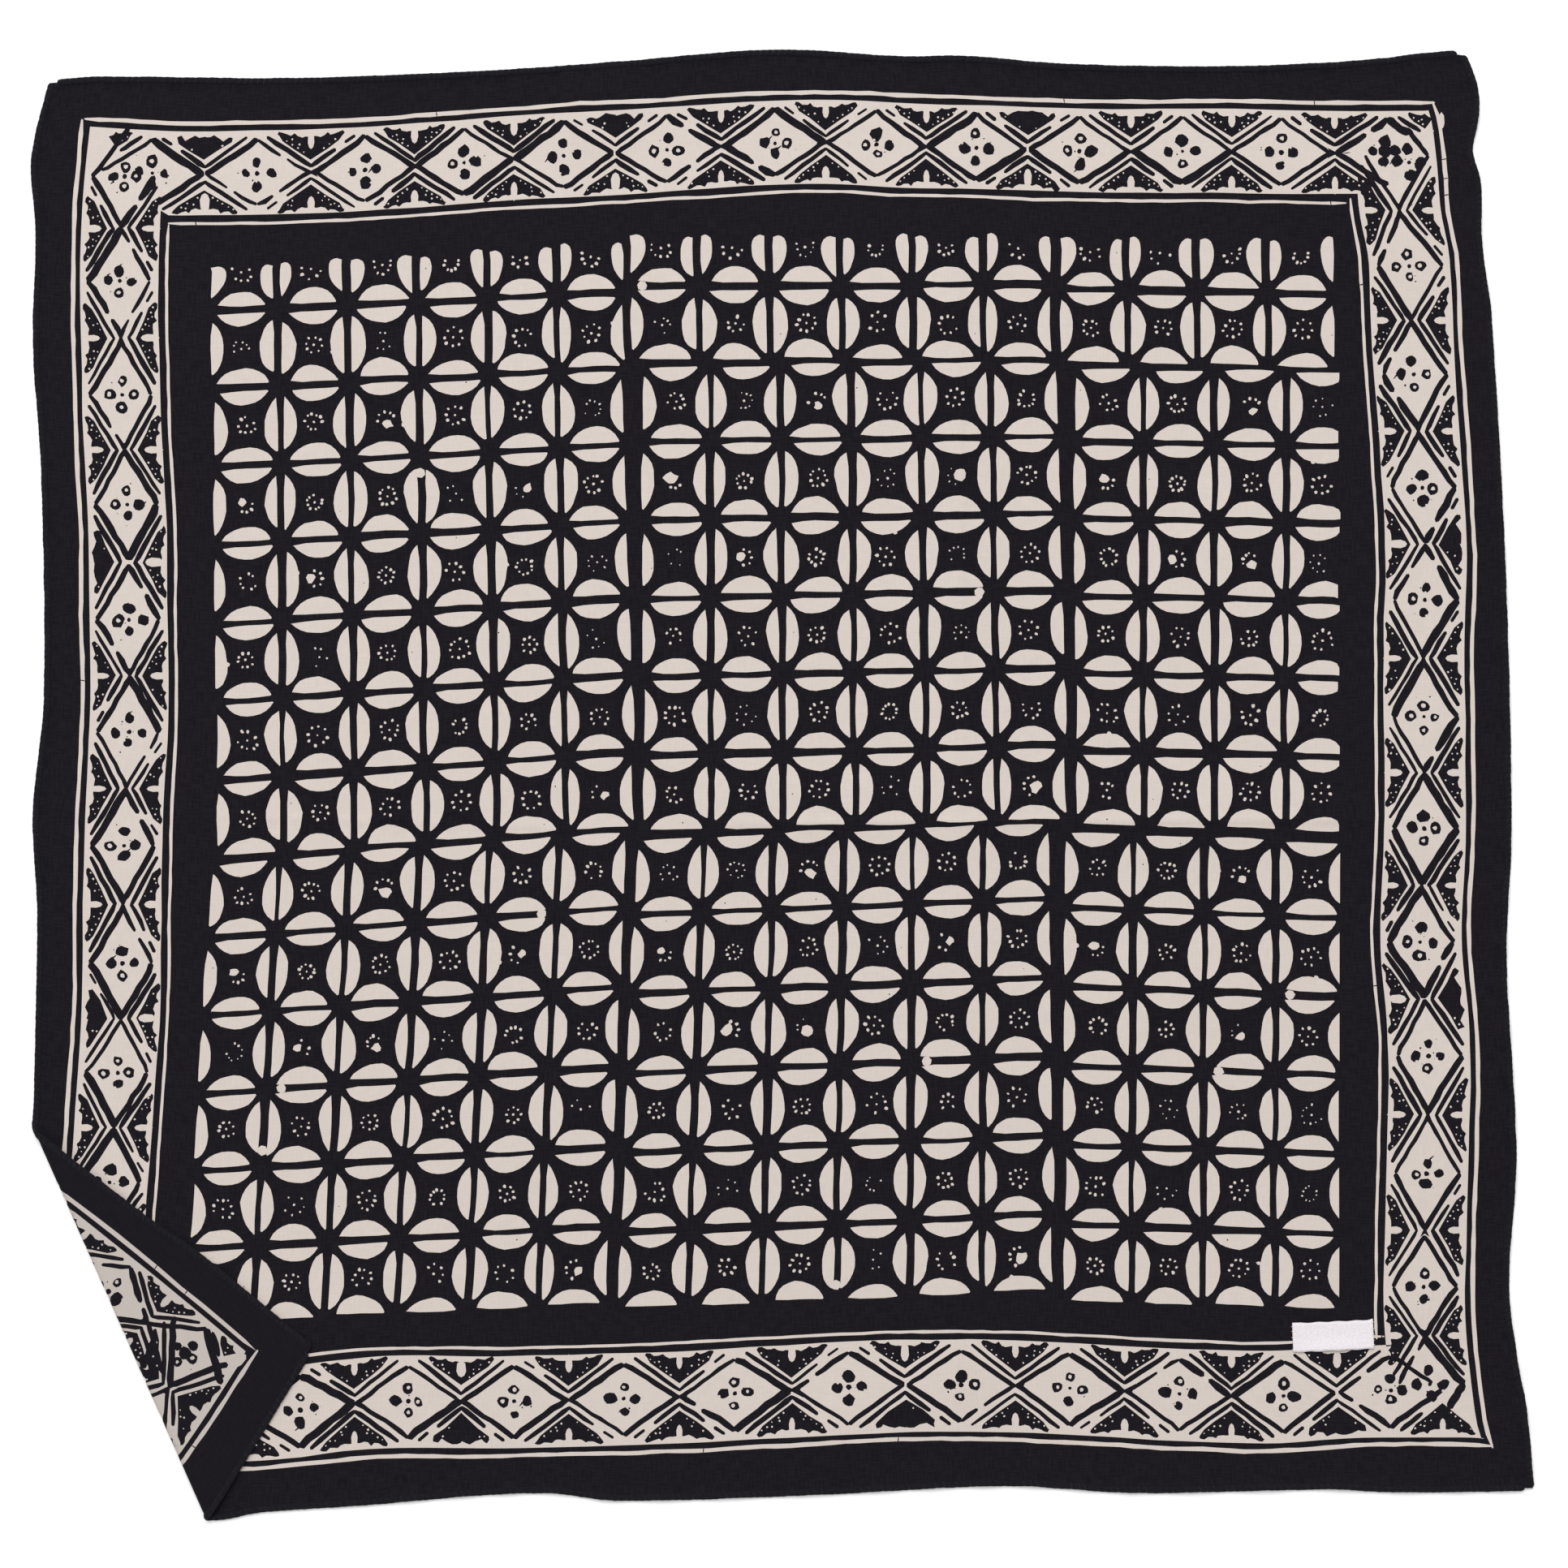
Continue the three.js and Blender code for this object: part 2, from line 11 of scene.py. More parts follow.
import bpy
import numpy as np
from bpy.props import FloatProperty, FloatVectorProperty, PointerProperty
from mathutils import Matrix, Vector
from mathutils.geometry import delaunay_2d_cdt
from mathutils.kdtree import KDTree


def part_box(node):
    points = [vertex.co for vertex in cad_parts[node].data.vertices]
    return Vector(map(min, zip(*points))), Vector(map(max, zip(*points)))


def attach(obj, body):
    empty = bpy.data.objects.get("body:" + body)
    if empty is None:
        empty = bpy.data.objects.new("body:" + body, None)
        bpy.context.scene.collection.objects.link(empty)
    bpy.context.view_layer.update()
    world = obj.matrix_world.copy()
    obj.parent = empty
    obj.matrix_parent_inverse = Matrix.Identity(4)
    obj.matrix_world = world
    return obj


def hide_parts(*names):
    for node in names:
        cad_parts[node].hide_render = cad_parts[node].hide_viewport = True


bl_info = {
    "name": "Printed Bandana",
    "version": (1, 0, 0),
    "blender": (4, 5, 0),
    "location": "View3D > Sidebar > Bandana",
    "description": "A square cotton bandana with a block print, a rolled hem and a sewn label",
    "category": "Object",
}

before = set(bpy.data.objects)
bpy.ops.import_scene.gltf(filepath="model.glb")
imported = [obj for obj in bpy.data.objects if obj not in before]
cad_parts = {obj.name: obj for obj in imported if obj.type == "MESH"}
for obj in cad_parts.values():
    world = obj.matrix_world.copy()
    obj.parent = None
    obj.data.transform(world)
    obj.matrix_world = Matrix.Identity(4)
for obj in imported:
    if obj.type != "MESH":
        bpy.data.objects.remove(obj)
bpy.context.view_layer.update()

MM = 0.001

# The cloth as it lies

CLOTH_SPAN = 540.0
EDGE_INSET = 1.2
EDGE_RISE_REACH = 3.6

# Each corner in plan, and the way to the inside of the square.
CORNERS = {
    "top_left": ((-271.5, 260.7), (1, -1)),
    "top_right": ((252.3, 270.9), (-1, -1)),
    "bottom_right": ((277.5, -260.7), (-1, 1)),
    "bottom_left": ((-286.8, -258.0), (1, 1)),
}

# Columns of the tables below: place on the side's chord, how far the edge stands outside the chord, and
# how high the hem's puckers rise there.
LEFT_EDGE = [
    (0, 0, 0.5), (25, 5.3, 1.2), (37, 5.2, 1.0), (55, 3.1, 0.8), (97, 2.9, 1.1), (145, -1.6, 0.7),
    (229, -5.0, 1.0), (271, -2.2, 0.6), (307, -4.9, 0.3), (345, -5.5, 0), (385, -5.6, 0),
    (441, -3.6, 0), (464, -1.2, 0), (519, 0, 0),
]
RIGHT_EDGE = [
    (0, 0, 0.6), (11, 3.6, 1.0), (23, 3.7, 1.3), (35, 0.8, 1.0), (47, 3.2, 1.2), (71, 2.7, 1.4),
    (95, 4.8, 1.1), (191, 5.6, 1.5), (287, 3.2, 1.2), (335, -0.9, 1.6), (407, -0.7, 1.3),
    (455, -5.7, 1.0), (479, -4.4, 1.2), (503, -1.3, 1.4), (531, 0, 0.6),
]
TOP_EDGE = [
    (0, 0, 0.5), (18, 0.9, 0.8), (90, -1.0, 0.6), (162, 0.3, 0.8), (210, 2.6, 0.7), (270, 6.0, 0.9),
    (318, 2.6, 0.6), (342, 2.3, 0.8), (378, -1.3, 0.9), (438, -3.4, 0.7), (486, -2.3, 1.2),
    (522, 0.7, 1.0), (527, 0, 0.6),
]
BOTTOM_EDGE = [
    (0, 0, 0), (53, 10.0, 0), (75, 13.1, 0), (93, 10.1, 0), (129, 7.5, 0.4), (177, 3.3, 0.9),
    (201, 2.6, 0.7), (225, 5.2, 1.0), (297, 2.8, 0.8), (369, -0.9, 1.1), (417, 1.4, 0.8),
    (489, -0.2, 1.2), (513, 0.7, 0.9), (564, 0, 0.6),
]

# First corner, last corner, the way out, the number of puckers and the table of each side.
SIDES = {
    "left": ("top_left", "bottom_left", (-1, 0), 25, LEFT_EDGE),
    "right": ("top_right", "bottom_right", (1, 0), 27, RIGHT_EDGE),
    "top": ("top_left", "top_right", (0, 1), 24, TOP_EDGE),
    "bottom": ("bottom_left", "bottom_right", (0, -1), 26, BOTTOM_EDGE),
}
PUCKER_REACH = 12.0
PUCKER_DRAW_IN = 0.35
PUCKER_DRIFT = 0.35
PUCKER_DRIFTS = 3

# Low ridges and troughs of the laid cloth: two ends in plan, height and half width. The first seven are the
# broad ones, then come shallow swells, and the last ones are the narrow creases of its storage folds.
WRINKLES = [
    ((62, 262), (66, -255), 1.3, 24),
    ((-96, 240), (-40, 262), 2.0, 26),
    ((-50, -6), (272, -14), 1.1, 24),
    ((150, 258), (262, 180), 1.6, 30),
    ((-262, 226), (-190, 120), 1.5, 30),
    ((268, -60), (236, -170), 1.4, 28),
    ((-30, -254), (60, -222), 1.2, 26),
    ((-180, 60), (-120, -60), 0.8, 34),
    ((120, 40), (190, 130), 0.7, 38),
    ((-40, 60), (20, 150), 0.6, 30),
    ((90, -90), (190, -60), 0.8, 28),
    ((-120, -150), (-30, -90), 0.7, 32),
    ((150, -210), (230, -150), 0.6, 24),
    ((-220, 20), (-262, 90), 0.9, 22),
    ((-180, 180), (-90, 140), 0.5, 26),
    ((64, 250), (66, 20), 0.45, 3.2),
    ((66, -30), (63, -248), 0.35, 2.8),
    ((-53, 235), (-50, 60), 0.3, 2.6),
    ((-54, -30), (-60, -215), 0.25, 2.6),
    ((104, 230), (107, -60), 0.25, 2.4),
    ((-250, -10), (-60, -16), 0.3, 2.6),
    ((-40, -14), (262, -12), 0.45, 3.0),
]
WRINKLE_END_FADE = 40.0

# The edge of the fold that shows, from the left side to the bottom side.
FOLD_START = np.array((-277.7, -124.4))
FOLD_END = np.array((-212.6, -271.7))
FOLD_PUFF_REACH = 16.0
fold_length = np.linalg.norm(FOLD_END - FOLD_START)
fold_along = (FOLD_END - FOLD_START) / fold_length
fold_beyond = np.array((fold_along[1], -fold_along[0]))

# The print: four sides of its frame, as the outer white line lies. Columns: place on the chord, how far the
# line stands outside the chord.
FRAME_CORNERS = {
    "top_left": (-258.9, 246.3),
    "top_right": (240.0, 252.3),
    "bottom_right": (261.9, -244.2),
    "bottom_left": (-271.5, -242.7),
}
FRAME_TOP = [
    (0, 0), (20, -1.3), (38, -2.2), (92, -1.9), (128, 0), (164, 2.2), (200, 3.7), (236, 5.7), (272, 6.8),
    (308, 4.7), (344, 3.4), (380, 2.0), (416, 1.7), (452, 0.4), (499, 0),
]
FRAME_RIGHT = [
    (0, 0), (5, 1.9), (22, 3.4), (40, 3.8), (58, 6.4), (94, 6.6), (130, 7.7), (166, 8.1), (202, 5.8),
    (238, 4.5), (274, 2.7), (310, -0.2), (346, 1.1), (382, -0.8), (418, -3.2), (454, -4.9), (490, -2.1),
    (497, 0),
]
FRAME_BOTTOM = [
    (0, 0), (40, 6.5), (72, 9.7), (90, 8.3), (108, 6.0), (126, 4.6), (162, 4.6), (198, 3.8), (234, 2.6),
    (270, 0.3), (306, -1.6), (342, -2.2), (378, -0.9), (414, 0.9), (450, 1.9), (486, -0.2), (522, -0.6),
    (533, 0),
]
FRAME_LEFT = [
    (0, 0), (22, 1.5), (40, 2.0), (58, 2.1), (76, 1.5), (112, -0.2), (148, -2.9), (184, -4.4), (220, -5.5),
    (256, -4.7), (292, -4.8), (328, -5.3), (364, -4.0), (400, -2.2), (445, -0.8), (489, 0),
]

# First corner, last corner, way out, table, band depth from the outer to the inner white line, the places of
# the lozenges' centres on the chord, and after which of them one stamp ends and the next begins.
BANDS = {
    "top": (
        "top_left", "top_right", (0, 1), FRAME_TOP, 36.9,
        (25.8, 64.5, 104.4, 141.0, 177.9, 216.0, 255.9, 293.4, 330.3, 368.4, 406.5, 442.8, 482.4),
        (0, 4, 8),
    ),
    "bottom": (
        "bottom_left", "bottom_right", (0, -1), FRAME_BOTTOM, 39.9,
        (11.0, 52.0, 93.0, 132.9, 171.9, 212.4, 253.5, 295.5, 336.9, 377.1, 417.6, 456.0, 495.6),
        (3, 7, 11),
    ),
    "left": (
        "top_left", "bottom_left", (-1, 0), FRAME_LEFT, 34.8,
        (21.3, 60.0, 102.0, 142.5, 185.1, 226.5, 268.5, 312.0, 352.5, 393.0, 434.0, 470.0),
        (3, 7),
    ),
    "right": (
        "top_right", "bottom_right", (1, 0), FRAME_RIGHT, 35.9,
        (19.5, 60.6, 100.5, 142.5, 183.9, 227.1, 268.5, 310.5, 352.5, 396.0, 438.0, 474.0),
        (3, 7),
    ),
}

# The stamps of the field. Columns: first and last column and row of stars, and where the stars at the four
# corners of the stamp lie: upper left, upper right, lower left, lower right.
STAMPS = [
    (-1, 5, -1, 1, (-213.0, 203.5), (-58.5, 210.5), (-212.5, 146.5), (-57.0, 154.0)),
    (5, 11, -1, 1, (-58.5, 213.0), (100.0, 213.0), (-57.0, 156.0), (100.5, 157.0)),
    (11, 15, -1, 1, (100.5, 211.5), (204.0, 210.0), (101.5, 155.5), (205.0, 153.5)),
    (-1, 5, 1, 7, (-211.5, 146.5), (-58.0, 154.5), (-210.5, -27.5), (-53.5, -16.0)),
    (5, 11, 1, 7, (-53.0, 156.0), (102.5, 157.5), (-53.0, -18.0), (106.0, -13.5)),
    (11, 15, 1, 7, (106.5, 155.5), (212.0, 154.0), (107.0, -15.5), (211.5, -18.0)),
    (-1, 5, 7, 13, (-212.0, -28.0), (-56.5, -15.5), (-222.5, -200.0), (-64.0, -192.5)),
    (5, 11, 7, 13, (-55.0, -18.5), (99.5, -12.5), (-62.5, -194.5), (101.0, -187.5)),
    (11, 15, 7, 13, (103.0, -15.5), (208.0, -20.0), (102.5, -191.5), (207.5, -194.5)),
]
FIELD_FIRST_ROW = -1
STAMP_CELLS = 6
FIELD_RIGHT_LIMIT = 205.4

# Where the top petals of each top stamp are cut short, from the first column to the last.
TOP_CUTS = {-1: (-0.22, -0.52), 5: (-0.47, -0.47), 11: (-0.5, -0.68)}

# The label: its place and turn, its rows and steps, and how its tape lifts, dips and spreads
LABEL_CENTRE = (203.1, -203.3)
LABEL_TURN = math.radians(2.5)
LABEL_ROWS = 12
LABEL_EDGE_LIFT = 0.45
LABEL_END_STEPS, LABEL_BEND_STEPS, LABEL_STEPS = 6, 7, 40
LABEL_TIGHT_BEND = 1.05
LABEL_GAP = 0.03
LABEL_MIDDLE_DIP = 0.35
SELVEDGE_WAVE, SELVEDGE_TURNS = 0.12, 0.9
LABEL_END_SPREAD = 0.35

# Stitches over each end of the label: how many, how far in from the sides and the end, and their sizes
LABEL_STITCHES = 5
LABEL_STITCH_SIDE, LABEL_STITCH_END = 1.1, 0.55
LABEL_STITCH_SHIFT, LABEL_STITCH_TURN = 0.2, 0.25
LABEL_STITCH_SIZE = (0.95, 0.8, 0.75)
LABEL_STITCH_SINK = 0.55
LABEL_LAYERS = 2.6

# The hem and its thread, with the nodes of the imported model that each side's hem stands for
HEM_SIDES = 12
HEM_SWELL, HEM_SWELL_STATIONS = 0.07, 4
HEM_END_ROUNDING = (0.45, 0.78, 0.94)
HEM_WAY_STEP = 0.0002
HEM_MAP_STEP = 0.6
HEM_PULL = 0.07
HEM_END_TRIM = {"left": (0.0, 0.0), "right": (0.0, 0.0), "top": (2.4, 2.4), "bottom": (2.4, 2.4)}
THREAD_STANDS = -0.07
THREAD_RING_WALL = 0.125
STITCH_SHIFT = 0.25
STITCH_SLANT_CHANGE = 0.2
STITCH_SLANT = math.radians(28)
STITCH_SIDES, STITCH_WALL_SIDES = 10, 5
LABEL_STITCH_SIDES, LABEL_STITCH_WALL_SIDES = 12, 6
HEM_NODES = {
    "left": ("hem_left", "hem_left_turned"), "right": ("hem_right",), "top": ("hem_top",),
    "bottom": ("hem_bottom", "hem_bottom_turned"),
}

# How the cloth is cut into faces: margins, spacings and how near an outline an inner place may lie
PRINT_MARGIN = 6.0
FOLD_ROWS = 11
FOLD_STATION = 3.0
CREASE_OFFSETS = (-2.4, -1.2, 0.0, 1.2, 2.4)
NARROW_CREASE = 4.0
FOLD_SPLIT = 0.4
FOLD_CLEARANCE = 0.2
CUT_TOLERANCE = 0.01
BACK_DETAIL_REACH = 12.0
FLAT_PLACE_ROUNDS = 12
NORMAL_STEP = 0.05
EDGE_FINE_STEP = 0.4
EDGE_ROWS = (1.2, 2.4)
EDGE_CLEAR = 0.6
OUTLINE_CLEAR_SHARE = 0.36

# Petals: the points of a bowed side, the least depth at a blunt end, how a petal that is cut short begins, and
# how much each may differ from the next
PETAL_STEPS = 11
BLUNT_END = 0.4
CUT_END = (0.42, 0.66, 0.88, 0.97)
PETAL_POWER = 2.2
PETAL_LENGTH_CHANGE = (-0.06, 0.05)
PETAL_DEPTH_CHANGE = (-0.14, 0.12)
PETAL_FULLNESS = (0.54, 0.82)
PETAL_LEAN = 0.2
PETAL_SLIDE = 0.6
PETAL_SWELL, SWELL_TURNS = 0.06, 2.5
PETAL_RIPPLE, RIPPLE_TURNS = 0.035, 8
SLOT_CHANGE = 0.3
SLOT_TILT = 0.12
SLOT_SHAKE = 0.1
SLOT_BEND = 0.45
SLOT_STATIONS = (0.965, 0.5, 0.0, -0.5, -0.965)
CUT_CHANGE = (-0.06, 0.08)
STAMP_SLIP = 0.2
EDGE_SHAKE = 0.05
LIMIT_SHAKE = 0.5
LEAST_PETAL = 1.2

# How often a petal has a spur on its outer side, a dark speck or a bridge over its slot
SPUR_CHANCE, SPECK_CHANCE, BRIDGE_CHANCE = 0.03, 0.05, 0.03
BRIDGE_PLACE, BRIDGE_SHARE = 0.82, 0.75
SPUR_CLEAR, SPUR_SHIFT, SPUR_RADIUS = 0.8, 3, 0.9
SPECK_PLACE, SPECK_SHIFT, SPECK_RADIUS = (2, 4.5), 5, (0.2, 0.32)

# Rings of dots: how many dots, how often some have run together, print faintly or are missing
DOT_COUNTS = (8, 8, 9, 10)
DOT_SIZE_CHANGE = 0.3
DOT_TURN_SHAKE = 0.12
DOT_REACH_CHANGE = (-0.12, 0.15)
RING_CHANGE = (0.85, 1.12)
RING_LIMIT_CLEAR = 3
MERGED_CHANCE, MERGED_PRINTS_CHANCE = 0.14, 0.8
FAINT_CHANCE, FAINT_SHARE = 0.12, 0.65
MISSING_CHANCE, FAINT_MISSING_CHANCE = 0.08, 0.3
MERGED_SHIFT, MERGED_RADIUS = 1.5, (1.2, 2.1)
MIDDLE_DOT_CHANCE = 0.75

# The band: the sides next to each side, the hand drawn lines, the lozenges and the flowers in them
STROKE_TIP = 0.3
LINE_WANDER = 0.25
LINE_STEP = 5
TICKS = 3
BAND_NEIGHBOURS = {
    "top": ("left", "right"), "bottom": ("left", "right"),
    "right": ("top", "bottom"), "left": ("top", "bottom"),
}
LOZENGE_STATIONS = (0.02, 0.15, 0.3, 0.45, 0.6, 0.75, 0.9, 1.0)
LOZENGE_GAP_CHANCE = 0.16
LOZENGE_CLEAR = 0.9
LOZENGE_SHARE = 0.66
FLORET_REACH, MERGED_FLORET_REACH = (4.2, 4.8), 3.9
FLORET_SPOT = (1.65, 2.35)
HOLLOW_SHARE, TAILED_SHARE, BITTEN_SHARE = 0.35, 0.6, 0.78
LOZENGE_STROKES = (1.5, 1.8, 2.1, 2.4, 2.9)

# How much of the sides of a corner lozenge printed, where two rows of lozenges crowd.
CORNER_SHARES = {
    ("top", 0): {"in start": 0.0}, ("top", 12): {"in end": 0.0, "out end": 0.4},
    ("left", 0): {"in start": 0.0}, ("left", 11): {"in end": 0.0},
    ("right", 0): {"in start": 0.0, "out start": 0.5},
    ("right", 11): {"in end": 0.0, "out end": 0.5}, ("bottom", 0): {"in start": 0.0, "out start": 0.0},
    ("bottom", 12): {"in end": 0.8},
}

# Corner florets that are moved along and across, run together or left out.
CORNER_FLORETS = {("right", 0): (2.6, -5.0), ("top", 12): (-1.2, -0.8)}
MERGED_FLORETS = (("top", 12), ("left", 11))
HIDDEN_FLORET = ("bottom", 0)

# Crossings past the last lozenges, of which a part printed on the outer side: place on the chord, half the
# pitch, the ways along which the bent line shows, and the ways along which the wing does.
CORNER_JOINTS = {
    "top": ((6.4, 19.3, (1,), (1,)), (502.2, 19.8, (-1,), (-1,))),
    "bottom": ((514.8, 19.2, (-1,), (-1, 1)),),
    "left": ((487.0, 18.0, (-1,), (-1,)),),
}

# The scalloped edge of a wing, from its tip to its middle: share of its length, and how far under its top
WING_RIM = (
    (0.98, 1.5), (1.03, 0.7), (0.97, 0.0), (0.86, 0.1), (0.74, 0.9), (0.6, 1.1), (0.5, 0.5), (0.41, 1.6),
    (0.28, 2.1), (0.16, 1.8), (0.02, 2.0),
)
LUMPY_RIM = (
    (0.88, 2.1), (0.84, 1.2), (0.72, 1.2), (0.62, 2.5), (0.46, 1.6), (0.3, 0.6), (0.16, 1.1), (0.02, 1.3),
)

# Dots of a wing: place along it as a share, and how far inside its slanted side.
WING_DOTS = ((0.24, 1.2), (0.36, 2.9), (0.4, 1.2), (0.56, 1.25), (0.58, 2.9), (0.72, 1.4), (0.87, 1.3))

# The crossings between lozenges: a bent line and a dark wing with a white leaf, and what each keeps clear of
JOINT_CLEAR = 2.6
LINE_END_CLEAR = 5.2
LINE_REACH = 0.8
LINE_STATIONS = (0.0, 0.12, 0.35, 0.55, 0.8, 1.0)
LONE_LINE_STATIONS = (0.5, 0.6, 0.75, 0.9, 1.0)
LINE_GAP_CHANCE = 0.3
WING_APEX, OPEN_WING_APEX = 2.3, 2.9
WING_CROWN_CLEAR = 3.45
WING_TIP_CLEAR = 2.3
WING_REACH = 0.61
LEAF_CLEAR, OPEN_LEAF_CLEAR, OPEN_LEAF_SHARE = 3.0, 4.4, 1.3

FLOOR_DROP = -0.0003
LIGHT_PLACE = (-0.5, 1.6, 3.0)
SENSOR_WIDTH = 36.0


def smooth(value):
    """The soft step from 0 to 1."""
    value = np.clip(value, 0.0, 1.0)
    return value * value * (3 - 2 * value)


def table_value(rows, place, column):
    """One column of a table at some places, on a smooth curve through its rows."""
    rows = np.array(rows, float)
    along, value = rows[:, 0], rows[:, column]
    place = np.clip(place, along[0], along[-1])
    last = len(along) - 1
    k = np.clip(np.searchsorted(along, place) - 1, 0, last - 1)
    before = np.maximum(np.arange(last + 1) - 1, 0)
    after = np.minimum(np.arange(last + 1) + 1, last)
    slope = (value[after] - value[before]) / (along[after] - along[before])
    span = along[k + 1] - along[k]
    s = (place - along[k]) / span
    from_start = (1 + 2 * s) * (1 - s) ** 2 * value[k] + s * (1 - s) ** 2 * span * slope[k]
    from_end = s * s * (3 - 2 * s) * value[k + 1] + s * s * (s - 1) * span * slope[k + 1]
    return from_start + from_end


def inset_corner(name, inset):
    """A corner of the square, moved in from both of its sides."""
    place, inward = CORNERS[name]
    return np.array(place) + inset * np.array(inward, float)


def side_point(name, t, inset):
    """Points on one side of the square at the fractions t, an inset inside the outer edge."""
    start, end, outward, _, rows = SIDES[name]
    first, last = inset_corner(start, inset), inset_corner(end, inset)
    out = table_value(rows, t * rows[-1][0], 1)
    return first + (last - first) * t[:, None] + np.array(outward) * out[:, None]


def plan_point(across, down, inset=EDGE_INSET):
    """Plan points from their fractions across and down the square."""
    left, right = side_point("left", down, inset), side_point("right", down, inset)
    top, bottom = side_point("top", across, inset), side_point("bottom", across, inset)
    u, v = across[:, None], down[:, None]
    upper = (1 - u) * inset_corner("top_left", inset) + u * inset_corner("top_right", inset)
    lower = (1 - u) * inset_corner("bottom_left", inset) + u * inset_corner("bottom_right", inset)
    return (1 - u) * left + u * right + (1 - v) * (top - upper) + v * (bottom - lower)


def flat_place(points):
    """The places on the flat square, in millimetres, of points in the unfolded plan."""
    points = np.asarray(points, float)
    width = inset_corner("top_right", 0)[0] - inset_corner("top_left", 0)[0]
    height = inset_corner("top_left", 0)[1] - inset_corner("bottom_left", 0)[1]
    across = (points[:, 0] - inset_corner("top_left", 0)[0]) / width
    down = (inset_corner("top_left", 0)[1] - points[:, 1]) / height
    for _ in range(FLAT_PLACE_ROUNDS):
        miss = points - plan_point(across, down)
        across += miss[:, 0] / CLOTH_SPAN
        down -= miss[:, 1] / CLOTH_SPAN
    return np.stack([across, 1 - down], 1) * CLOTH_SPAN


def wrinkle_height(plan):
    """How high the ridges and creases stand at places in plan."""
    height = np.zeros(len(plan))
    for start, end, rise, half_width in WRINKLES:
        start, end = np.array(start, float), np.array(end, float)
        length = np.linalg.norm(end - start)
        way = (end - start) / length
        along = (plan - start) @ way
        across = np.abs((plan - start) @ np.array((way[1], -way[0])))
        inside = np.minimum(along, length - along)
        soft_ends = smooth(inside / min(WRINKLE_END_FADE, length / 2))
        near = np.clip(across / half_width, 0, 1)
        height += rise * soft_ends * np.cos(math.pi / 2 * near) ** 2
    return height


def cloth_middle(flat, sizes):
    """The middle surface of the laid and folded cloth, in millimetres, at places on the flat square."""
    across, down = flat[:, 0] / CLOTH_SPAN, 1 - flat[:, 1] / CLOTH_SPAN
    plan = plan_point(across, down)
    half_wall = sizes.thickness / MM / 2
    lower = half_wall + wrinkle_height(plan)
    edge_rise = sizes.hem_height / MM / 2 - half_wall
    shift = np.zeros_like(plan)
    edges = {
        "left": (down, across), "right": (down, 1 - across),
        "top": (across, down), "bottom": (across, 1 - down),
    }
    for name, (t, inwards) in edges.items():
        _, _, outward, puckers, rows = SIDES[name]
        distance = EDGE_INSET + inwards * CLOTH_SPAN
        lift = np.maximum(table_value(rows, t * rows[-1][0], 2), 0)
        turns = puckers * t + PUCKER_DRIFT * np.sin(2 * math.pi * PUCKER_DRIFTS * t)
        fade = np.clip(1 - distance / PUCKER_REACH, 0, 1) ** 2
        height = lift * (0.5 - 0.5 * np.cos(2 * math.pi * turns)) * fade
        shift -= np.array(outward) * (height * PUCKER_DRAW_IN)[:, None]
        lower = lower + height
        near_edge = smooth(1 - (distance - EDGE_INSET) / EDGE_RISE_REACH)
        lower = np.maximum(lower, half_wall + edge_rise * near_edge + height)
    plan = plan + shift
    beyond = (plan - FOLD_START) @ fold_beyond
    along = (plan - FOLD_START) @ fold_along
    reach = sizes.fold_height / MM / 2
    turned_depth = np.maximum(beyond - reach, 0)
    puff = sizes.fold_height / MM - half_wall - sizes.flap_rest / MM
    upper = sizes.flap_rest / MM + puff * np.exp(-((turned_depth / FOLD_PUFF_REACH) ** 2))
    angle = np.clip((beyond + reach) / (2 * reach), 0, 1) * math.pi
    height = lower + (upper - lower) * (0.5 - 0.5 * np.cos(angle))
    rolled = -reach + (reach - half_wall) * np.sin(angle)
    place = np.where(beyond < -reach, beyond, np.where(beyond > reach, -beyond, rolled))
    laid = FOLD_START + fold_along * along[:, None] + fold_beyond * place[:, None]
    return np.column_stack([laid, height])


def cloth_surface(flat, sizes):
    """The middle surface, and its normal on the printed side."""
    middle = cloth_middle(flat, sizes)
    right, up = (NORMAL_STEP, 0), (0, NORMAL_STEP)
    ahead = cloth_middle(flat + right, sizes) - cloth_middle(flat - right, sizes)
    aside = cloth_middle(flat + up, sizes) - cloth_middle(flat - up, sizes)
    normal = np.cross(ahead, aside)
    return middle, normal / np.linalg.norm(normal, axis=1)[:, None]


def centring():
    """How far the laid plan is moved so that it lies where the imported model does."""
    t = np.linspace(0, 1, 2001)
    edges = np.concatenate([plan_point(t, t * 0, 0), plan_point(t * 0 + 1, t, 0)])
    top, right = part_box("hem_top")[1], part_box("hem_right")[1]
    return np.array((right[0] / MM - edges[:, 0].max(), top[1] / MM - edges[:, 1].max()))


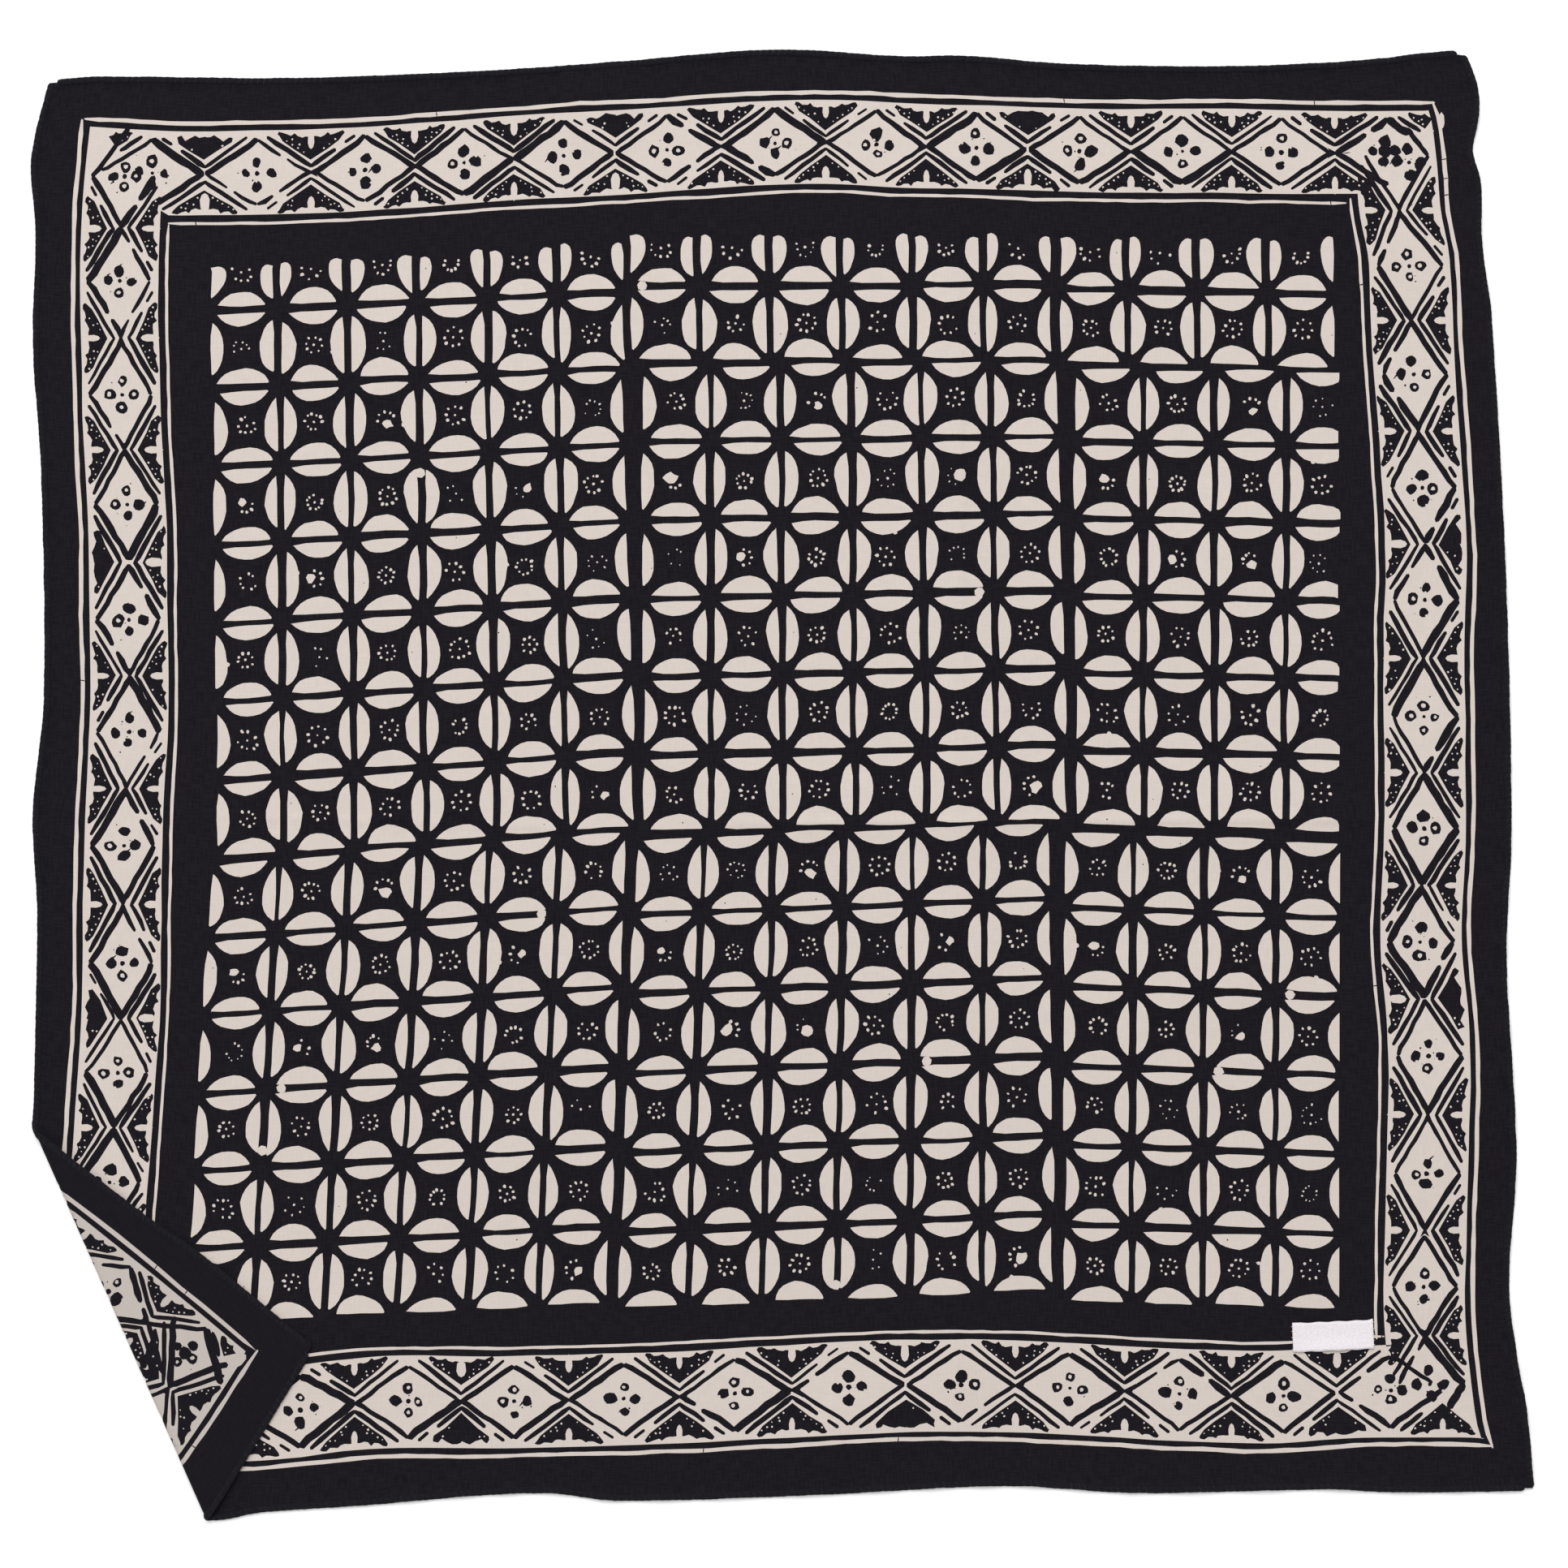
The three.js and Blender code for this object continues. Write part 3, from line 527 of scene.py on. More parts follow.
class Stencil:
    """The print's outlines, each a loop of plan points with whether it is left white, later ones on top."""

    def __init__(self):
        self.shapes = []

    def cut(self, points, white=True):
        self.shapes.append((np.asarray(points, float), white))

    def blob(self, centre, radius, rng, white=True, points=7, uneven=0.15, stretch=1.0, turn=0.0):
        """A roundish spot with an uneven rim."""
        start = rng.uniform(0, 2 * math.pi)
        loop = []
        for k in range(points):
            angle = start + 2 * math.pi * k / points
            reach = radius * (1 + uneven * rng.uniform(-1, 1))
            x, y = reach * math.cos(angle) * stretch, reach * math.sin(angle)
            loop.append((
                centre[0] + x * math.cos(turn) - y * math.sin(turn),
                centre[1] + x * math.sin(turn) + y * math.cos(turn),
            ))
        self.cut(loop, white)

    def stroke(self, path, width, rng, white=True, uneven=0.15, pointed=0.45):
        """A hand drawn line along a path of plan points, with uneven sides and narrowed ends."""
        path = np.asarray(path, float)
        way = np.gradient(path, axis=0)
        way /= np.linalg.norm(way, axis=1)[:, None] + 1e-9
        aside = np.column_stack([-way[:, 1], way[:, 0]])
        sides = []
        for side in (aside, -aside):
            half = np.array([width / 2 * (1 + uneven * rng.uniform(-1, 1)) for _ in path])
            half[[0, -1]] *= pointed
            sides.append(path + side * half[:, None])
        tips = [path[0] - way[0] * width * STROKE_TIP], [path[-1] + way[-1] * width * STROKE_TIP]
        self.cut(np.concatenate([tips[0], sides[0], tips[1], sides[1][::-1]]), white)


def either_way(rng, reach):
    """An even chance from minus to plus a reach."""
    return rng.uniform(-reach, reach)


def half_petal(centre, long_way, cross_way, sizes, rng, slot_bend, start=-1.0):
    """One half of a petal: an inner side along the slot, a bowed outer side and blunt ends.

    slot_bend is how far the slot bows towards this half. start is where the half begins along its length,
    from -1 to 1. One that is cut short has a rounded end."""
    half_length = sizes["half_length"] * (1 + rng.uniform(*PETAL_LENGTH_CHANGE))
    depth = sizes["depth"] * (1 + rng.uniform(*PETAL_DEPTH_CHANGE))
    slot = sizes["slot"] / 2 * (1 + either_way(rng, SLOT_CHANGE))
    fullness = rng.uniform(*PETAL_FULLNESS)
    lean, slide = either_way(rng, PETAL_LEAN), either_way(rng, PETAL_SLIDE)
    swell, ripple = either_way(rng, PETAL_SWELL), either_way(rng, PETAL_RIPPLE)
    phase = rng.uniform(0, 2 * math.pi)
    tilt = either_way(rng, SLOT_TILT)
    loop = []
    for k in range(PETAL_STEPS + 1):
        s = start + (1 - start) * (0.5 - 0.5 * math.cos(math.pi * k / PETAL_STEPS))
        bow = max(1 - abs(s) ** PETAL_POWER, 0) ** fullness * (1 + lean * s)
        bow *= 1 + swell * math.sin(SWELL_TURNS * s + phase) + ripple * math.sin(RIPPLE_TURNS * s + phase)
        if start > -1 and k < len(CUT_END):
            bow *= CUT_END[k]
        loop.append((s, slot + max(depth * bow, BLUNT_END) + slot_bend * (1 - s * s)))
    for s in SLOT_STATIONS:
        if s > start + 0.1:
            loop.append((s, slot + slot_bend * (1 - s * s) + tilt * s + either_way(rng, SLOT_SHAKE)))
    if start > -1:
        loop.append((start + 0.05, slot + 0.1))
    return np.array([centre + long_way * (s * half_length + slide) + cross_way * out for s, out in loop])


def star_place(stamp, column, row):
    """Where a stamp prints the star of one column and row."""
    first_column, last_column, first_row, last_row = stamp[:4]
    upper_left, upper_right, lower_left, lower_right = (np.array(p) for p in stamp[4:])
    u = (column - first_column) / (last_column - first_column)
    v = (row - first_row) / (last_row - first_row)
    upper = upper_left * (1 - u) + upper_right * u
    lower = lower_left * (1 - u) + lower_right * u
    return upper * (1 - v) + lower * v


def draw_petals(stencil, stamp, sizes):
    """The halved petals of one stamp. Those on the stamp's rim are printed as one half only."""
    first_column, last_column, first_row, last_row = stamp[:4]

    def petal(start, end, kind, sides, key, cut_from=-1.0):
        middle = (start + end) / 2
        long_way = (end - start) / np.linalg.norm(end - start)
        cross_way = np.array((-long_way[1], long_way[0]))
        slot_bend = either_way(random.Random(f"{kind} {key} slot"), SLOT_BEND)
        for side in sides:
            size = sizes[(kind, side)]
            rng = random.Random(f"{kind} {key} {side}")
            mine = random.Random(f"{kind} {key} {side} {first_column} {first_row}")
            cut = cut_from + (rng.uniform(*CUT_CHANGE) if cut_from > -1 else 0)
            points = half_petal(middle, long_way, cross_way * side, size, rng, slot_bend * side, cut)
            points += (either_way(mine, STAMP_SLIP), either_way(mine, STAMP_SLIP))
            points += np.array([(either_way(mine, EDGE_SHAKE), either_way(mine, EDGE_SHAKE)) for _ in points])
            points[:, 0] = np.minimum(points[:, 0], FIELD_RIGHT_LIMIT + either_way(mine, LIMIT_SHAKE))
            if np.ptp(points, axis=0).min() > LEAST_PETAL:
                stencil.cut(points)
            outwards = cross_way * side
            if mine.random() < SPUR_CHANCE:
                spur = middle + outwards * (size["depth"] + SPUR_CLEAR)
                spur += long_way * either_way(mine, SPUR_SHIFT)
                stencil.blob(spur, SPUR_RADIUS, mine, points=6, uneven=0.3)
            if mine.random() < SPECK_CHANCE:
                speck = middle + outwards * mine.uniform(*SPECK_PLACE)
                speck += long_way * either_way(mine, SPECK_SHIFT)
                stencil.blob(speck, mine.uniform(*SPECK_RADIUS), mine, white=False, points=5)
        if len(sides) == 2 and cut_from == -1 and mine.random() < BRIDGE_CHANCE:
            size = sizes[(kind, 1)]
            bridge = middle + long_way * mine.choice((-1, 1)) * size["half_length"] * BRIDGE_PLACE
            stencil.blob(bridge, size["slot"] * BRIDGE_SHARE, mine, points=7, uneven=0.1)

    for row in range(first_row, last_row + 1):
        for column in range(first_column, last_column + 1):
            key = f"{(column + 1) % STAMP_CELLS} {(row - 1) % STAMP_CELLS}"
            here = star_place(stamp, column, row)
            if column < last_column and row > FIELD_FIRST_ROW:
                sides = [1] if row == last_row else [-1] if row == first_row else [1, -1]
                petal(here, star_place(stamp, column + 1, row), "across", sides, key)
            if row < last_row:
                sides = [1] if column == first_column else [-1] if column == last_column else [1, -1]
                below = star_place(stamp, column, row + 1)
                cut_from = -1.0
                if row == FIELD_FIRST_ROW:
                    share = (column - first_column) / (last_column - first_column)
                    cut_from = TOP_CUTS[first_column][0] * (1 - share) + TOP_CUTS[first_column][1] * share
                petal(here, below, "down", sides, key, cut_from)


def draw_dots(stencil, stamp, sizes):
    """The ring of dots in each cell of one stamp. Some dots are missing, and some have run together."""
    first_column, last_column, first_row, last_row = stamp[:4]
    for row in range(first_row, last_row):
        for column in range(first_column, last_column):
            key = f"dots {(column + 1) % STAMP_CELLS} {(row - 1) % STAMP_CELLS}"
            shared = random.Random(key)
            mine = random.Random(f"{key} {first_column} {first_row}")
            corners = [star_place(stamp, column + i, row + j) for i in (0, 1) for j in (0, 1)]
            centre = sum(corners) / 4 + (shared.uniform(-0.8, 0.8), shared.uniform(-0.6, 0.6))
            if centre[0] > FIELD_RIGHT_LIMIT - RING_LIMIT_CLEAR:
                continue
            count = shared.choice(DOT_COUNTS)
            merged = shared.random() < MERGED_CHANCE and mine.random() < MERGED_PRINTS_CHANCE
            faint = mine.random() < FAINT_CHANCE
            turn = shared.uniform(0, 1)
            ring = sizes["ring"] * shared.uniform(*RING_CHANGE)
            if merged:
                away = shared.uniform(0, 2 * math.pi)
                spot = centre + MERGED_SHIFT * np.array((math.cos(away), math.sin(away)))
                size = mine.uniform(*MERGED_RADIUS)
                stencil.blob(spot, size, mine, points=9, uneven=0.28, stretch=1.25, turn=away + 1)
            for k in range(count):
                angle = 2 * math.pi * (k + turn) / count + either_way(shared, DOT_TURN_SHAKE)
                reach = ring * (1 + shared.uniform(*DOT_REACH_CHANGE))
                if merged and math.cos(angle - away) > 0.1:
                    continue
                radius = sizes["dot"] * (1 + either_way(mine, DOT_SIZE_CHANGE))
                radius *= FAINT_SHARE if faint else 1
                if mine.random() < (FAINT_MISSING_CHANCE if faint else MISSING_CHANCE):
                    continue
                if row == FIELD_FIRST_ROW and math.sin(angle) > 0.5:
                    continue
                spot = centre + reach * np.array((math.cos(angle), math.sin(angle)))
                longer = mine.uniform(0.9, 1.35)
                stencil.blob(spot, radius, mine, points=6, uneven=0.2, stretch=longer, turn=angle)
            if not merged and shared.random() < MIDDLE_DOT_CHANCE:
                stencil.blob(centre, sizes["dot"] * mine.uniform(0.7, 1.1), mine, points=6, uneven=0.2)


def band_frame(name):
    """A function from the place along one side's band and the depth into it to plan points."""
    start, end, outward, rows, depth, _, _ = BANDS[name]
    first, last = np.array(FRAME_CORNERS[start]), np.array(FRAME_CORNERS[end])
    length = rows[-1][0]
    outward = np.array(outward, float)

    def place(along, inwards):
        along, inwards = np.atleast_1d(np.asarray(along, float)), np.atleast_1d(np.asarray(inwards, float))
        out = table_value(rows, along, 1) - inwards
        return first + (last - first) * (along / length)[:, None] + outward * out[:, None]

    return place, length, depth


def wander(count, rng, size):
    """A soft random walk about zero, for hand drawn lines."""
    knots = [rng.uniform(-size, size) for _ in range(count // 3 + 3)]
    return np.interp(np.arange(count) / 3, np.arange(len(knots)), knots)


def frame_loop(depths, rng, size=0.2, step=5.0):
    """A closed loop that runs round the print at a depth, given for each side, inside its outer line."""
    loop = []
    for name, forwards in (("top", True), ("right", True), ("bottom", False), ("left", False)):
        place, length, _ = band_frame(name)
        count = int(length / step)
        before, after = BAND_NEIGHBOURS[name]
        along = np.linspace(depths[before], length - depths[after], count)
        points = place(along, depths[name] + wander(count, rng, size))
        loop.append(points if forwards else points[::-1])
    return np.concatenate(loop)


def inner_trim(name, other):
    """How far from the frame's corner one side's inner line ends, where the next side's line runs."""
    rows, depth, here = BANDS[other][3], BANDS[other][4], BANDS[name][4]
    along = here if name in ("top", "left") else rows[-1][0] - here
    return depth - float(table_value(rows, np.array([along]), 1)[0])


def draw_frame(stencil, sizes):
    """The white ground of the band and the two white lines that run round it."""
    rng = random.Random("frame")
    ground = {name: sizes["ground_start"] for name in BANDS}
    field = {name: BANDS[name][4] - sizes["ground_end"] for name in BANDS}
    stencil.cut(frame_loop(ground, rng), True)
    stencil.cut(frame_loop(field, rng), False)
    for name in BANDS:
        place, length, depth = band_frame(name)
        before, after = (inner_trim(name, other) for other in BAND_NEIGHBOURS[name])
        lines = ((0.0, sizes["outer_line"], 0.6, 0.6), (depth, sizes["inner_line"], before, after))
        for inwards, width, start, end in lines:
            count = int(length / LINE_STEP)
            along = np.linspace(start + rng.uniform(-1.2, 0.4), length - end + rng.uniform(-0.4, 1.2), count)
            path = place(along, inwards + wander(count, rng, LINE_WANDER))
            stencil.stroke(path, width, rng, uneven=0.22)
            for _ in range(TICKS):
                near, far = rng.uniform(8, 50), length - rng.uniform(8, 50)
                spot = rng.choice((near, far, rng.uniform(60, length - 60)))
                tick = place([spot - 0.15, spot, spot + 0.2], [inwards - 1.2, inwards, inwards + 1.2])
                stencil.stroke(tick, 0.45, rng, white=False)


def draw_floret(stencil, middle, long_way, cross_way, rng, merged=False):
    """Four spots round a small one, in the middle of a lozenge. Some are hollow and some have a tail.

    A merged one has run together into one blotch."""
    stencil.blob(middle, 2.6 if merged else rng.uniform(0.65, 1.05), rng, white=False, points=8, uneven=0.15)
    reach = MERGED_FLORET_REACH if merged else rng.uniform(*FLORET_REACH)
    for way, turn in ((long_way, 0), (-long_way, 0), (cross_way, 1), (-cross_way, 1)):
        spot = middle + way * reach * rng.uniform(0.88, 1.1) + (either_way(rng, 0.5), either_way(rng, 0.5))
        kind = rng.random()
        radius = rng.uniform(*FLORET_SPOT)
        lean = math.pi / 2 * turn + either_way(rng, 0.5)
        longer = rng.uniform(0.8, 1.25)
        stencil.blob(spot, radius, rng, white=False, points=10, uneven=0.16, stretch=longer, turn=lean)
        if kind < HOLLOW_SHARE:
            stencil.blob(spot + (either_way(rng, 0.3), 0.1), radius * 0.38, rng, points=6, uneven=0.25)
        elif kind < TAILED_SHARE:
            tail = rng.uniform(0, 2 * math.pi)
            away = np.array((math.cos(tail), math.sin(tail)))
            path = [spot + away * 0.6, spot + away * 1.9, spot + away * 2.6 + away[::-1]]
            stencil.stroke(path, 0.7, rng, white=False)
        elif kind < BITTEN_SHARE:
            bite = rng.uniform(0, 2 * math.pi)
            stencil.blob(spot + radius * np.array((math.cos(bite), math.sin(bite))), 0.55, rng, points=5)
    for _ in range(rng.choice((1, 2, 3, 5))):
        speck = middle + long_way * rng.uniform(-8, 8) + cross_way * rng.uniform(-4, 4)
        stencil.blob(speck, rng.uniform(0.18, 0.4), rng, white=False, points=5, uneven=0.4)


def draw_lozenge(stencil, at, half_long, half_cross, rng, shares):
    """A lozenge's outline. at turns a place along and across, from its centre, into a plan point.

    shares says how much of a side printed, where that isn't all of it."""
    corners = {
        "start": (-half_long, 0), "end": (half_long, 0), "out": (0, -half_cross), "in": (0, half_cross),
    }
    for first, last in (("out", "start"), ("out", "end"), ("in", "start"), ("in", "end")):
        a, b = np.array(corners[first]), np.array(corners[last])
        share = shares.get(f"{first} {last}", 1.0)
        if not share:
            continue
        width = rng.choice(LOZENGE_STROKES)
        points = []
        for station in LOZENGE_STATIONS:
            s = station * share
            bend = either_way(rng, 0.22) - 0.5 * (s < 0.1)
            along, across = a + (b - a) * s
            points.append((along, across + bend))
        if rng.random() < LOZENGE_GAP_CHANCE:
            gap = rng.choice((3, 4, 5))
            stencil.stroke(at(points[:gap]), width, rng, white=False, pointed=0.7)
            stencil.stroke(at(points[gap:]), width * 0.9, rng, white=False, pointed=0.7)
        else:
            stencil.stroke(at(points), width, rng, white=False, pointed=0.85)


def draw_joint(stencil, at, half_pitch, half_band, rng, sign, lumpy, opened, bent=(-1, 1), winged=(-1, 1)):
    """What lies on one side of the crossing between two lozenges: a bent line and a dark scalloped wing.

    at turns a place along and across, from the crossing, into a plan point, and sign is the side. bent and
    winged are the ways along which the line and the wing show."""
    clear = JOINT_CLEAR + rng.uniform(-0.4, 0.5)
    far = half_pitch * LINE_REACH
    slope = (half_band - LINE_END_CLEAR - clear) / far
    for way in bent:
        stations = LINE_STATIONS if len(bent) == 2 else LONE_LINE_STATIONS
        points = [(way * far * s, sign * (clear + slope * far * s + either_way(rng, 0.2))) for s in stations]
        width = rng.uniform(1.3, 2.1)
        parts = [points]
        if rng.random() < LINE_GAP_CHANCE:
            parts = [points[:-2], [(x, y - sign * 0.3) for x, y in points[-2:]]]
        for part in parts:
            stencil.stroke(at(part), width, rng, white=False, pointed=0.7)
    apex = clear + (OPEN_WING_APEX if opened else WING_APEX)
    crown = half_band - WING_CROWN_CLEAR
    wing = half_pitch * WING_REACH
    rise = crown - WING_TIP_CLEAR - apex
    below = [(wing * s, apex + rise * s) for s in (0.0, 0.5, 0.85)]
    rim = LUMPY_RIM if lumpy else WING_RIM
    above = [(wing * s, crown - drop) for s, drop in rim]
    half = below + above
    if len(winged) == 2:
        loop = half + [(-x, y) for x, y in reversed(half[1:])]
    else:
        loop = [(winged[0] * x, y) for x, y in half if x > wing * 0.2]
    shake = 0.5 if lumpy else 0.25
    points = [(x + either_way(rng, shake), sign * (y + either_way(rng, shake))) for x, y in loop]
    stencil.cut(at(points), False)
    if not lumpy:
        middle = crown - (OPEN_LEAF_CLEAR if opened else LEAF_CLEAR)
        tall = rng.uniform(3.0, 3.6)
        wide = rng.uniform(1.15, 1.5) * (OPEN_LEAF_SHARE if opened else 1)
        leaf = [
            (wide * math.sin(math.pi * s) * side, sign * (middle + tall * math.cos(math.pi * s)))
            for side, steps in ((1, (0, 0.3, 0.6, 0.8)), (-1, (1, 0.8, 0.6, 0.3))) for s in steps
        ]
        stencil.cut(at(leaf), True)
    for way in winged:
        for s, height in WING_DOTS:
            x, y = wing * s + either_way(rng, 0.3), apex + rise * s + height + either_way(rng, 0.2)
            top = np.interp(x, [p[0] for p in above[::-1]], [p[1] for p in above[::-1]])
            if y < top - 0.8 and rng.random() > (0.75 if lumpy else 0.25):
                stencil.blob(at([(way * x, sign * y)])[0], rng.uniform(0.24, 0.44), rng, points=5, uneven=0.2)


def draw_band(stencil, name):
    """One side's row of lozenges, with the crossings between them."""
    place, _, depth = band_frame(name)
    centres, seams = BANDS[name][5], BANDS[name][6]
    half_band = depth / 2
    across_middle = half_band + 0.2
    pitches = np.diff(centres)
    half_cross = half_band * LOZENGE_SHARE

    def local(along_centre):
        def at(points):
            points = np.asarray(points, float)
            return place(along_centre + points[:, 0], across_middle + points[:, 1])
        return at

    for k, centre in enumerate(centres):
        rng = random.Random(f"{name} lozenge {k}")
        at = local(centre)
        before = pitches[max(k - 1, 0)] / 2
        half_long = (before + pitches[min(k, len(pitches) - 1)] / 2) / 2 - LOZENGE_CLEAR
        draw_lozenge(stencil, at, half_long, half_cross, rng, CORNER_SHARES.get((name, k), {}))
        if (name, k) != HIDDEN_FLORET:
            x, y = CORNER_FLORETS.get((name, k), (0, 0))
            middle, ahead, aside = at([(x, y), (x + 1, y), (x, y + 1)])
            draw_floret(stencil, middle, ahead - middle, aside - middle, rng, (name, k) in MERGED_FLORETS)
    for k, (centre, half_pitch, bent, winged) in enumerate(CORNER_JOINTS.get(name, ())):
        rng = random.Random(f"{name} corner joint {k}")
        draw_joint(stencil, local(centre), half_pitch, half_band, rng, -1, False, False, bent, winged)
    for k in range(len(centres) - 1):
        rng = random.Random(f"{name} joint {k}")
        at = local((centres[k] + centres[k + 1]) / 2)
        half_pitch = pitches[k] / 2
        seam = k in seams
        if not seam:
            for way in (-1, 1):
                wedge = rng.uniform(2.6, 4.4)
                tall = wedge * half_cross / half_pitch + 0.3
                loop = [(0, -0.6), (wedge, -tall), (wedge - 1.3, 0), (wedge, tall), (0, 0.6)]
                stencil.cut(at([(way * x, y) for x, y in loop]), False)
        draw_joint(stencil, at, half_pitch, half_band, rng, -1, seam, False)
        draw_joint(stencil, at, half_pitch, half_band, rng, 1, False, seam)


def print_sizes(drawing):
    """The print's sizes in millimetres."""
    across = {"half_length": drawing.petal_length_across / 2 / MM, "slot": drawing.petal_slot / MM}
    down = {"half_length": drawing.petal_length_down / 2 / MM, "slot": drawing.petal_slot / MM}
    return {
        ("across", 1): {**across, "depth": drawing.petal_depth_upper / MM},
        ("across", -1): {**across, "depth": drawing.petal_depth_lower / MM},
        ("down", 1): {**down, "depth": drawing.petal_depth_down / MM},
        ("down", -1): {**down, "depth": drawing.petal_depth_down / MM},
        "dot": drawing.dot_radius / MM,
        "ring": drawing.ring_radius / MM,
        "outer_line": drawing.outer_line / MM,
        "inner_line": drawing.inner_line / MM,
        "ground_start": drawing.ground_start / MM,
        "ground_end": drawing.ground_end / MM,
    }


def draw_print(drawing):
    """Every outline of the print on the flat square, in the order of printing."""
    sizes = print_sizes(drawing)
    stencil = Stencil()
    draw_frame(stencil, sizes)
    for name in BANDS:
        draw_band(stencil, name)
    for stamp in STAMPS:
        draw_petals(stencil, stamp, sizes)
    for stamp in STAMPS:
        draw_dots(stencil, stamp, sizes)
    places = flat_place(np.concatenate([points for points, _ in stencil.shapes]))
    places = np.clip(places, PRINT_MARGIN, CLOTH_SPAN - PRINT_MARGIN)
    ends = np.cumsum([len(points) for points, _ in stencil.shapes])
    return [(part, white) for part, (_, white) in zip(np.split(places, ends[:-1]), stencil.shapes)]


def beyond_fold(flat):
    """How far places on the flat square lie past the fold line, negative on the laid side."""
    plan = plan_point(flat[:, 0] / CLOTH_SPAN, 1 - flat[:, 1] / CLOTH_SPAN)
    return (plan - FOLD_START) @ fold_beyond


def edge_stations(step, reach):
    """Places round the edge of the flat square, closer together where the fold crosses it."""
    count = int(CLOTH_SPAN / step)
    even = np.linspace(0, CLOTH_SPAN, count + 1)[:-1]
    zero, full = even * 0, even * 0 + CLOTH_SPAN
    loop = np.concatenate([
        np.column_stack([even, zero]), np.column_stack([full, even]),
        np.column_stack([CLOTH_SPAN - even, full]), np.column_stack([zero, CLOTH_SPAN - even]),
    ])
    fine = np.linspace(0, 1, int(CLOTH_SPAN / EDGE_FINE_STEP) + 1)[1:-1] * CLOTH_SPAN
    extra = np.concatenate([np.column_stack([fine, fine * 0]), np.column_stack([fine * 0, fine])])
    extra = extra[np.abs(beyond_fold(extra)) < reach]
    return np.unique(np.round(np.concatenate([loop, extra]), 4), axis=0)


def inner_places(step, reach):
    """Places inside the flat square: an even grid, and closer rows by the hem, the fold and the creases."""
    even = np.linspace(0, CLOTH_SPAN, int(CLOTH_SPAN / step) + 1)[1:-1]
    grid = np.stack(np.meshgrid(even, even), -1).reshape(-1, 2)
    rows = [grid[np.abs(beyond_fold(grid)) > reach + 1]]
    for inset in EDGE_ROWS:
        for x, y in ((even, even * 0 + inset), (even, even * 0 + CLOTH_SPAN - inset)):
            rows += [np.column_stack([x, y]), np.column_stack([y, x])]
    for start, end, _, half_width in WRINKLES:
        if half_width < NARROW_CREASE:
            start, end = np.array(start, float), np.array(end, float)
            way = (end - start) / np.linalg.norm(end - start)
            s = np.arange(0, np.linalg.norm(end - start), FOLD_STATION)[:, None]
            for offset in CREASE_OFFSETS:
                rows.append(flat_place(start + way * s + offset * np.array((way[1], -way[0]))))
    s = np.arange(-6, fold_length + 6, FOLD_STATION)[:, None]
    for offset in np.linspace(-reach, reach, FOLD_ROWS):
        rows.append(flat_place(FOLD_START + fold_along * s + fold_beyond * offset))
    places = np.concatenate(rows)
    return places[(places.min(1) > EDGE_CLEAR) & (places.max(1) < CLOTH_SPAN - EDGE_CLEAR)]


def is_inside(loop, points):
    """Which points a closed loop winds round."""
    wound = np.zeros(len(points), int)
    for (ax, ay), (bx, by) in zip(loop, np.roll(loop, -1, axis=0)):
        side = (bx - ax) * (points[:, 1] - ay) - (points[:, 0] - ax) * (by - ay)
        wound += (ay <= points[:, 1]) & (by > points[:, 1]) & (side > 0)
        wound -= (ay > points[:, 1]) & (by <= points[:, 1]) & (side < 0)
    return wound != 0


def split_over_fold(points, reach):
    """An outline with more points where it crosses the fold, so that it bends round the roll of cloth."""
    near, reach = beyond_fold(points), reach + FOLD_SPLIT
    pieces = []
    for here, there, start, end in zip(points, np.roll(points, -1, axis=0), near, np.roll(near, -1)):
        pieces.append(here[None])
        count = math.ceil(abs(end - start) / FOLD_SPLIT)
        if count > 1 and min(start, end) < reach and max(start, end) > -reach:
            part = here + (there - here) * (np.arange(1, count) / count)[:, None]
            pieces.append(part[np.abs(beyond_fold(part)) < reach])
    return np.concatenate(pieces)


def cut_square(shapes, edge, inner, clearance, reach):
    """The flat square as triangles that follow the outlines: places, triangles and which are left white."""
    shapes = [(split_over_fold(points, reach), white) for points, white in shapes]
    outline = np.concatenate([points for points, _ in shapes])
    tree = KDTree(len(outline))
    for k, (x, y) in enumerate(outline):
        tree.insert((x, y, 0), k)
    tree.balance()
    clear = np.where(np.abs(beyond_fold(inner)) < reach + FOLD_SPLIT, FOLD_CLEARANCE, clearance)
    inner = np.array([p for p, gap in zip(inner, clear) if tree.find((p[0], p[1], 0))[2] > gap])
    places = np.concatenate([outline, edge, inner])
    links, first = [], 0
    for points, _ in shapes:
        count = len(points)
        links += [(first + k, first + (k + 1) % count) for k in range(count)]
        first += count
    found = delaunay_2d_cdt([Vector(p) for p in places], links, [], 0, CUT_TOLERANCE)
    places = np.array([tuple(p) for p in found[0]])
    triangles = np.array([tuple(face) for face in found[2]])
    middles = places[triangles].mean(axis=1)
    order = np.argsort(middles[:, 0])
    middles, triangles = middles[order], triangles[order]
    white = np.zeros(len(triangles), bool)
    for points, is_white in shapes:
        low, high = points.min(axis=0), points.max(axis=0)
        start, end = np.searchsorted(middles[:, 0], (low[0], high[0]))
        near = start + np.flatnonzero((middles[start:end, 1] > low[1]) & (middles[start:end, 1] < high[1]))
        white[near[is_inside(points, middles[near])]] = is_white
    return places, triangles, white


def make_object(name, vertices, faces):
    """A mesh object from vertices in metres and faces."""
    mesh = bpy.data.meshes.new(name)
    mesh.from_pydata(vertices.tolist(), [], faces if isinstance(faces, list) else faces.tolist())
    mesh.validate()
    made = bpy.data.objects.new(name, mesh)
    bpy.context.scene.collection.objects.link(made)
    return made


def to_metres(points):
    """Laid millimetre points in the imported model's frame, in metres."""
    moved = np.array(points, float)
    moved[:, :2] += centring()
    return moved * MM


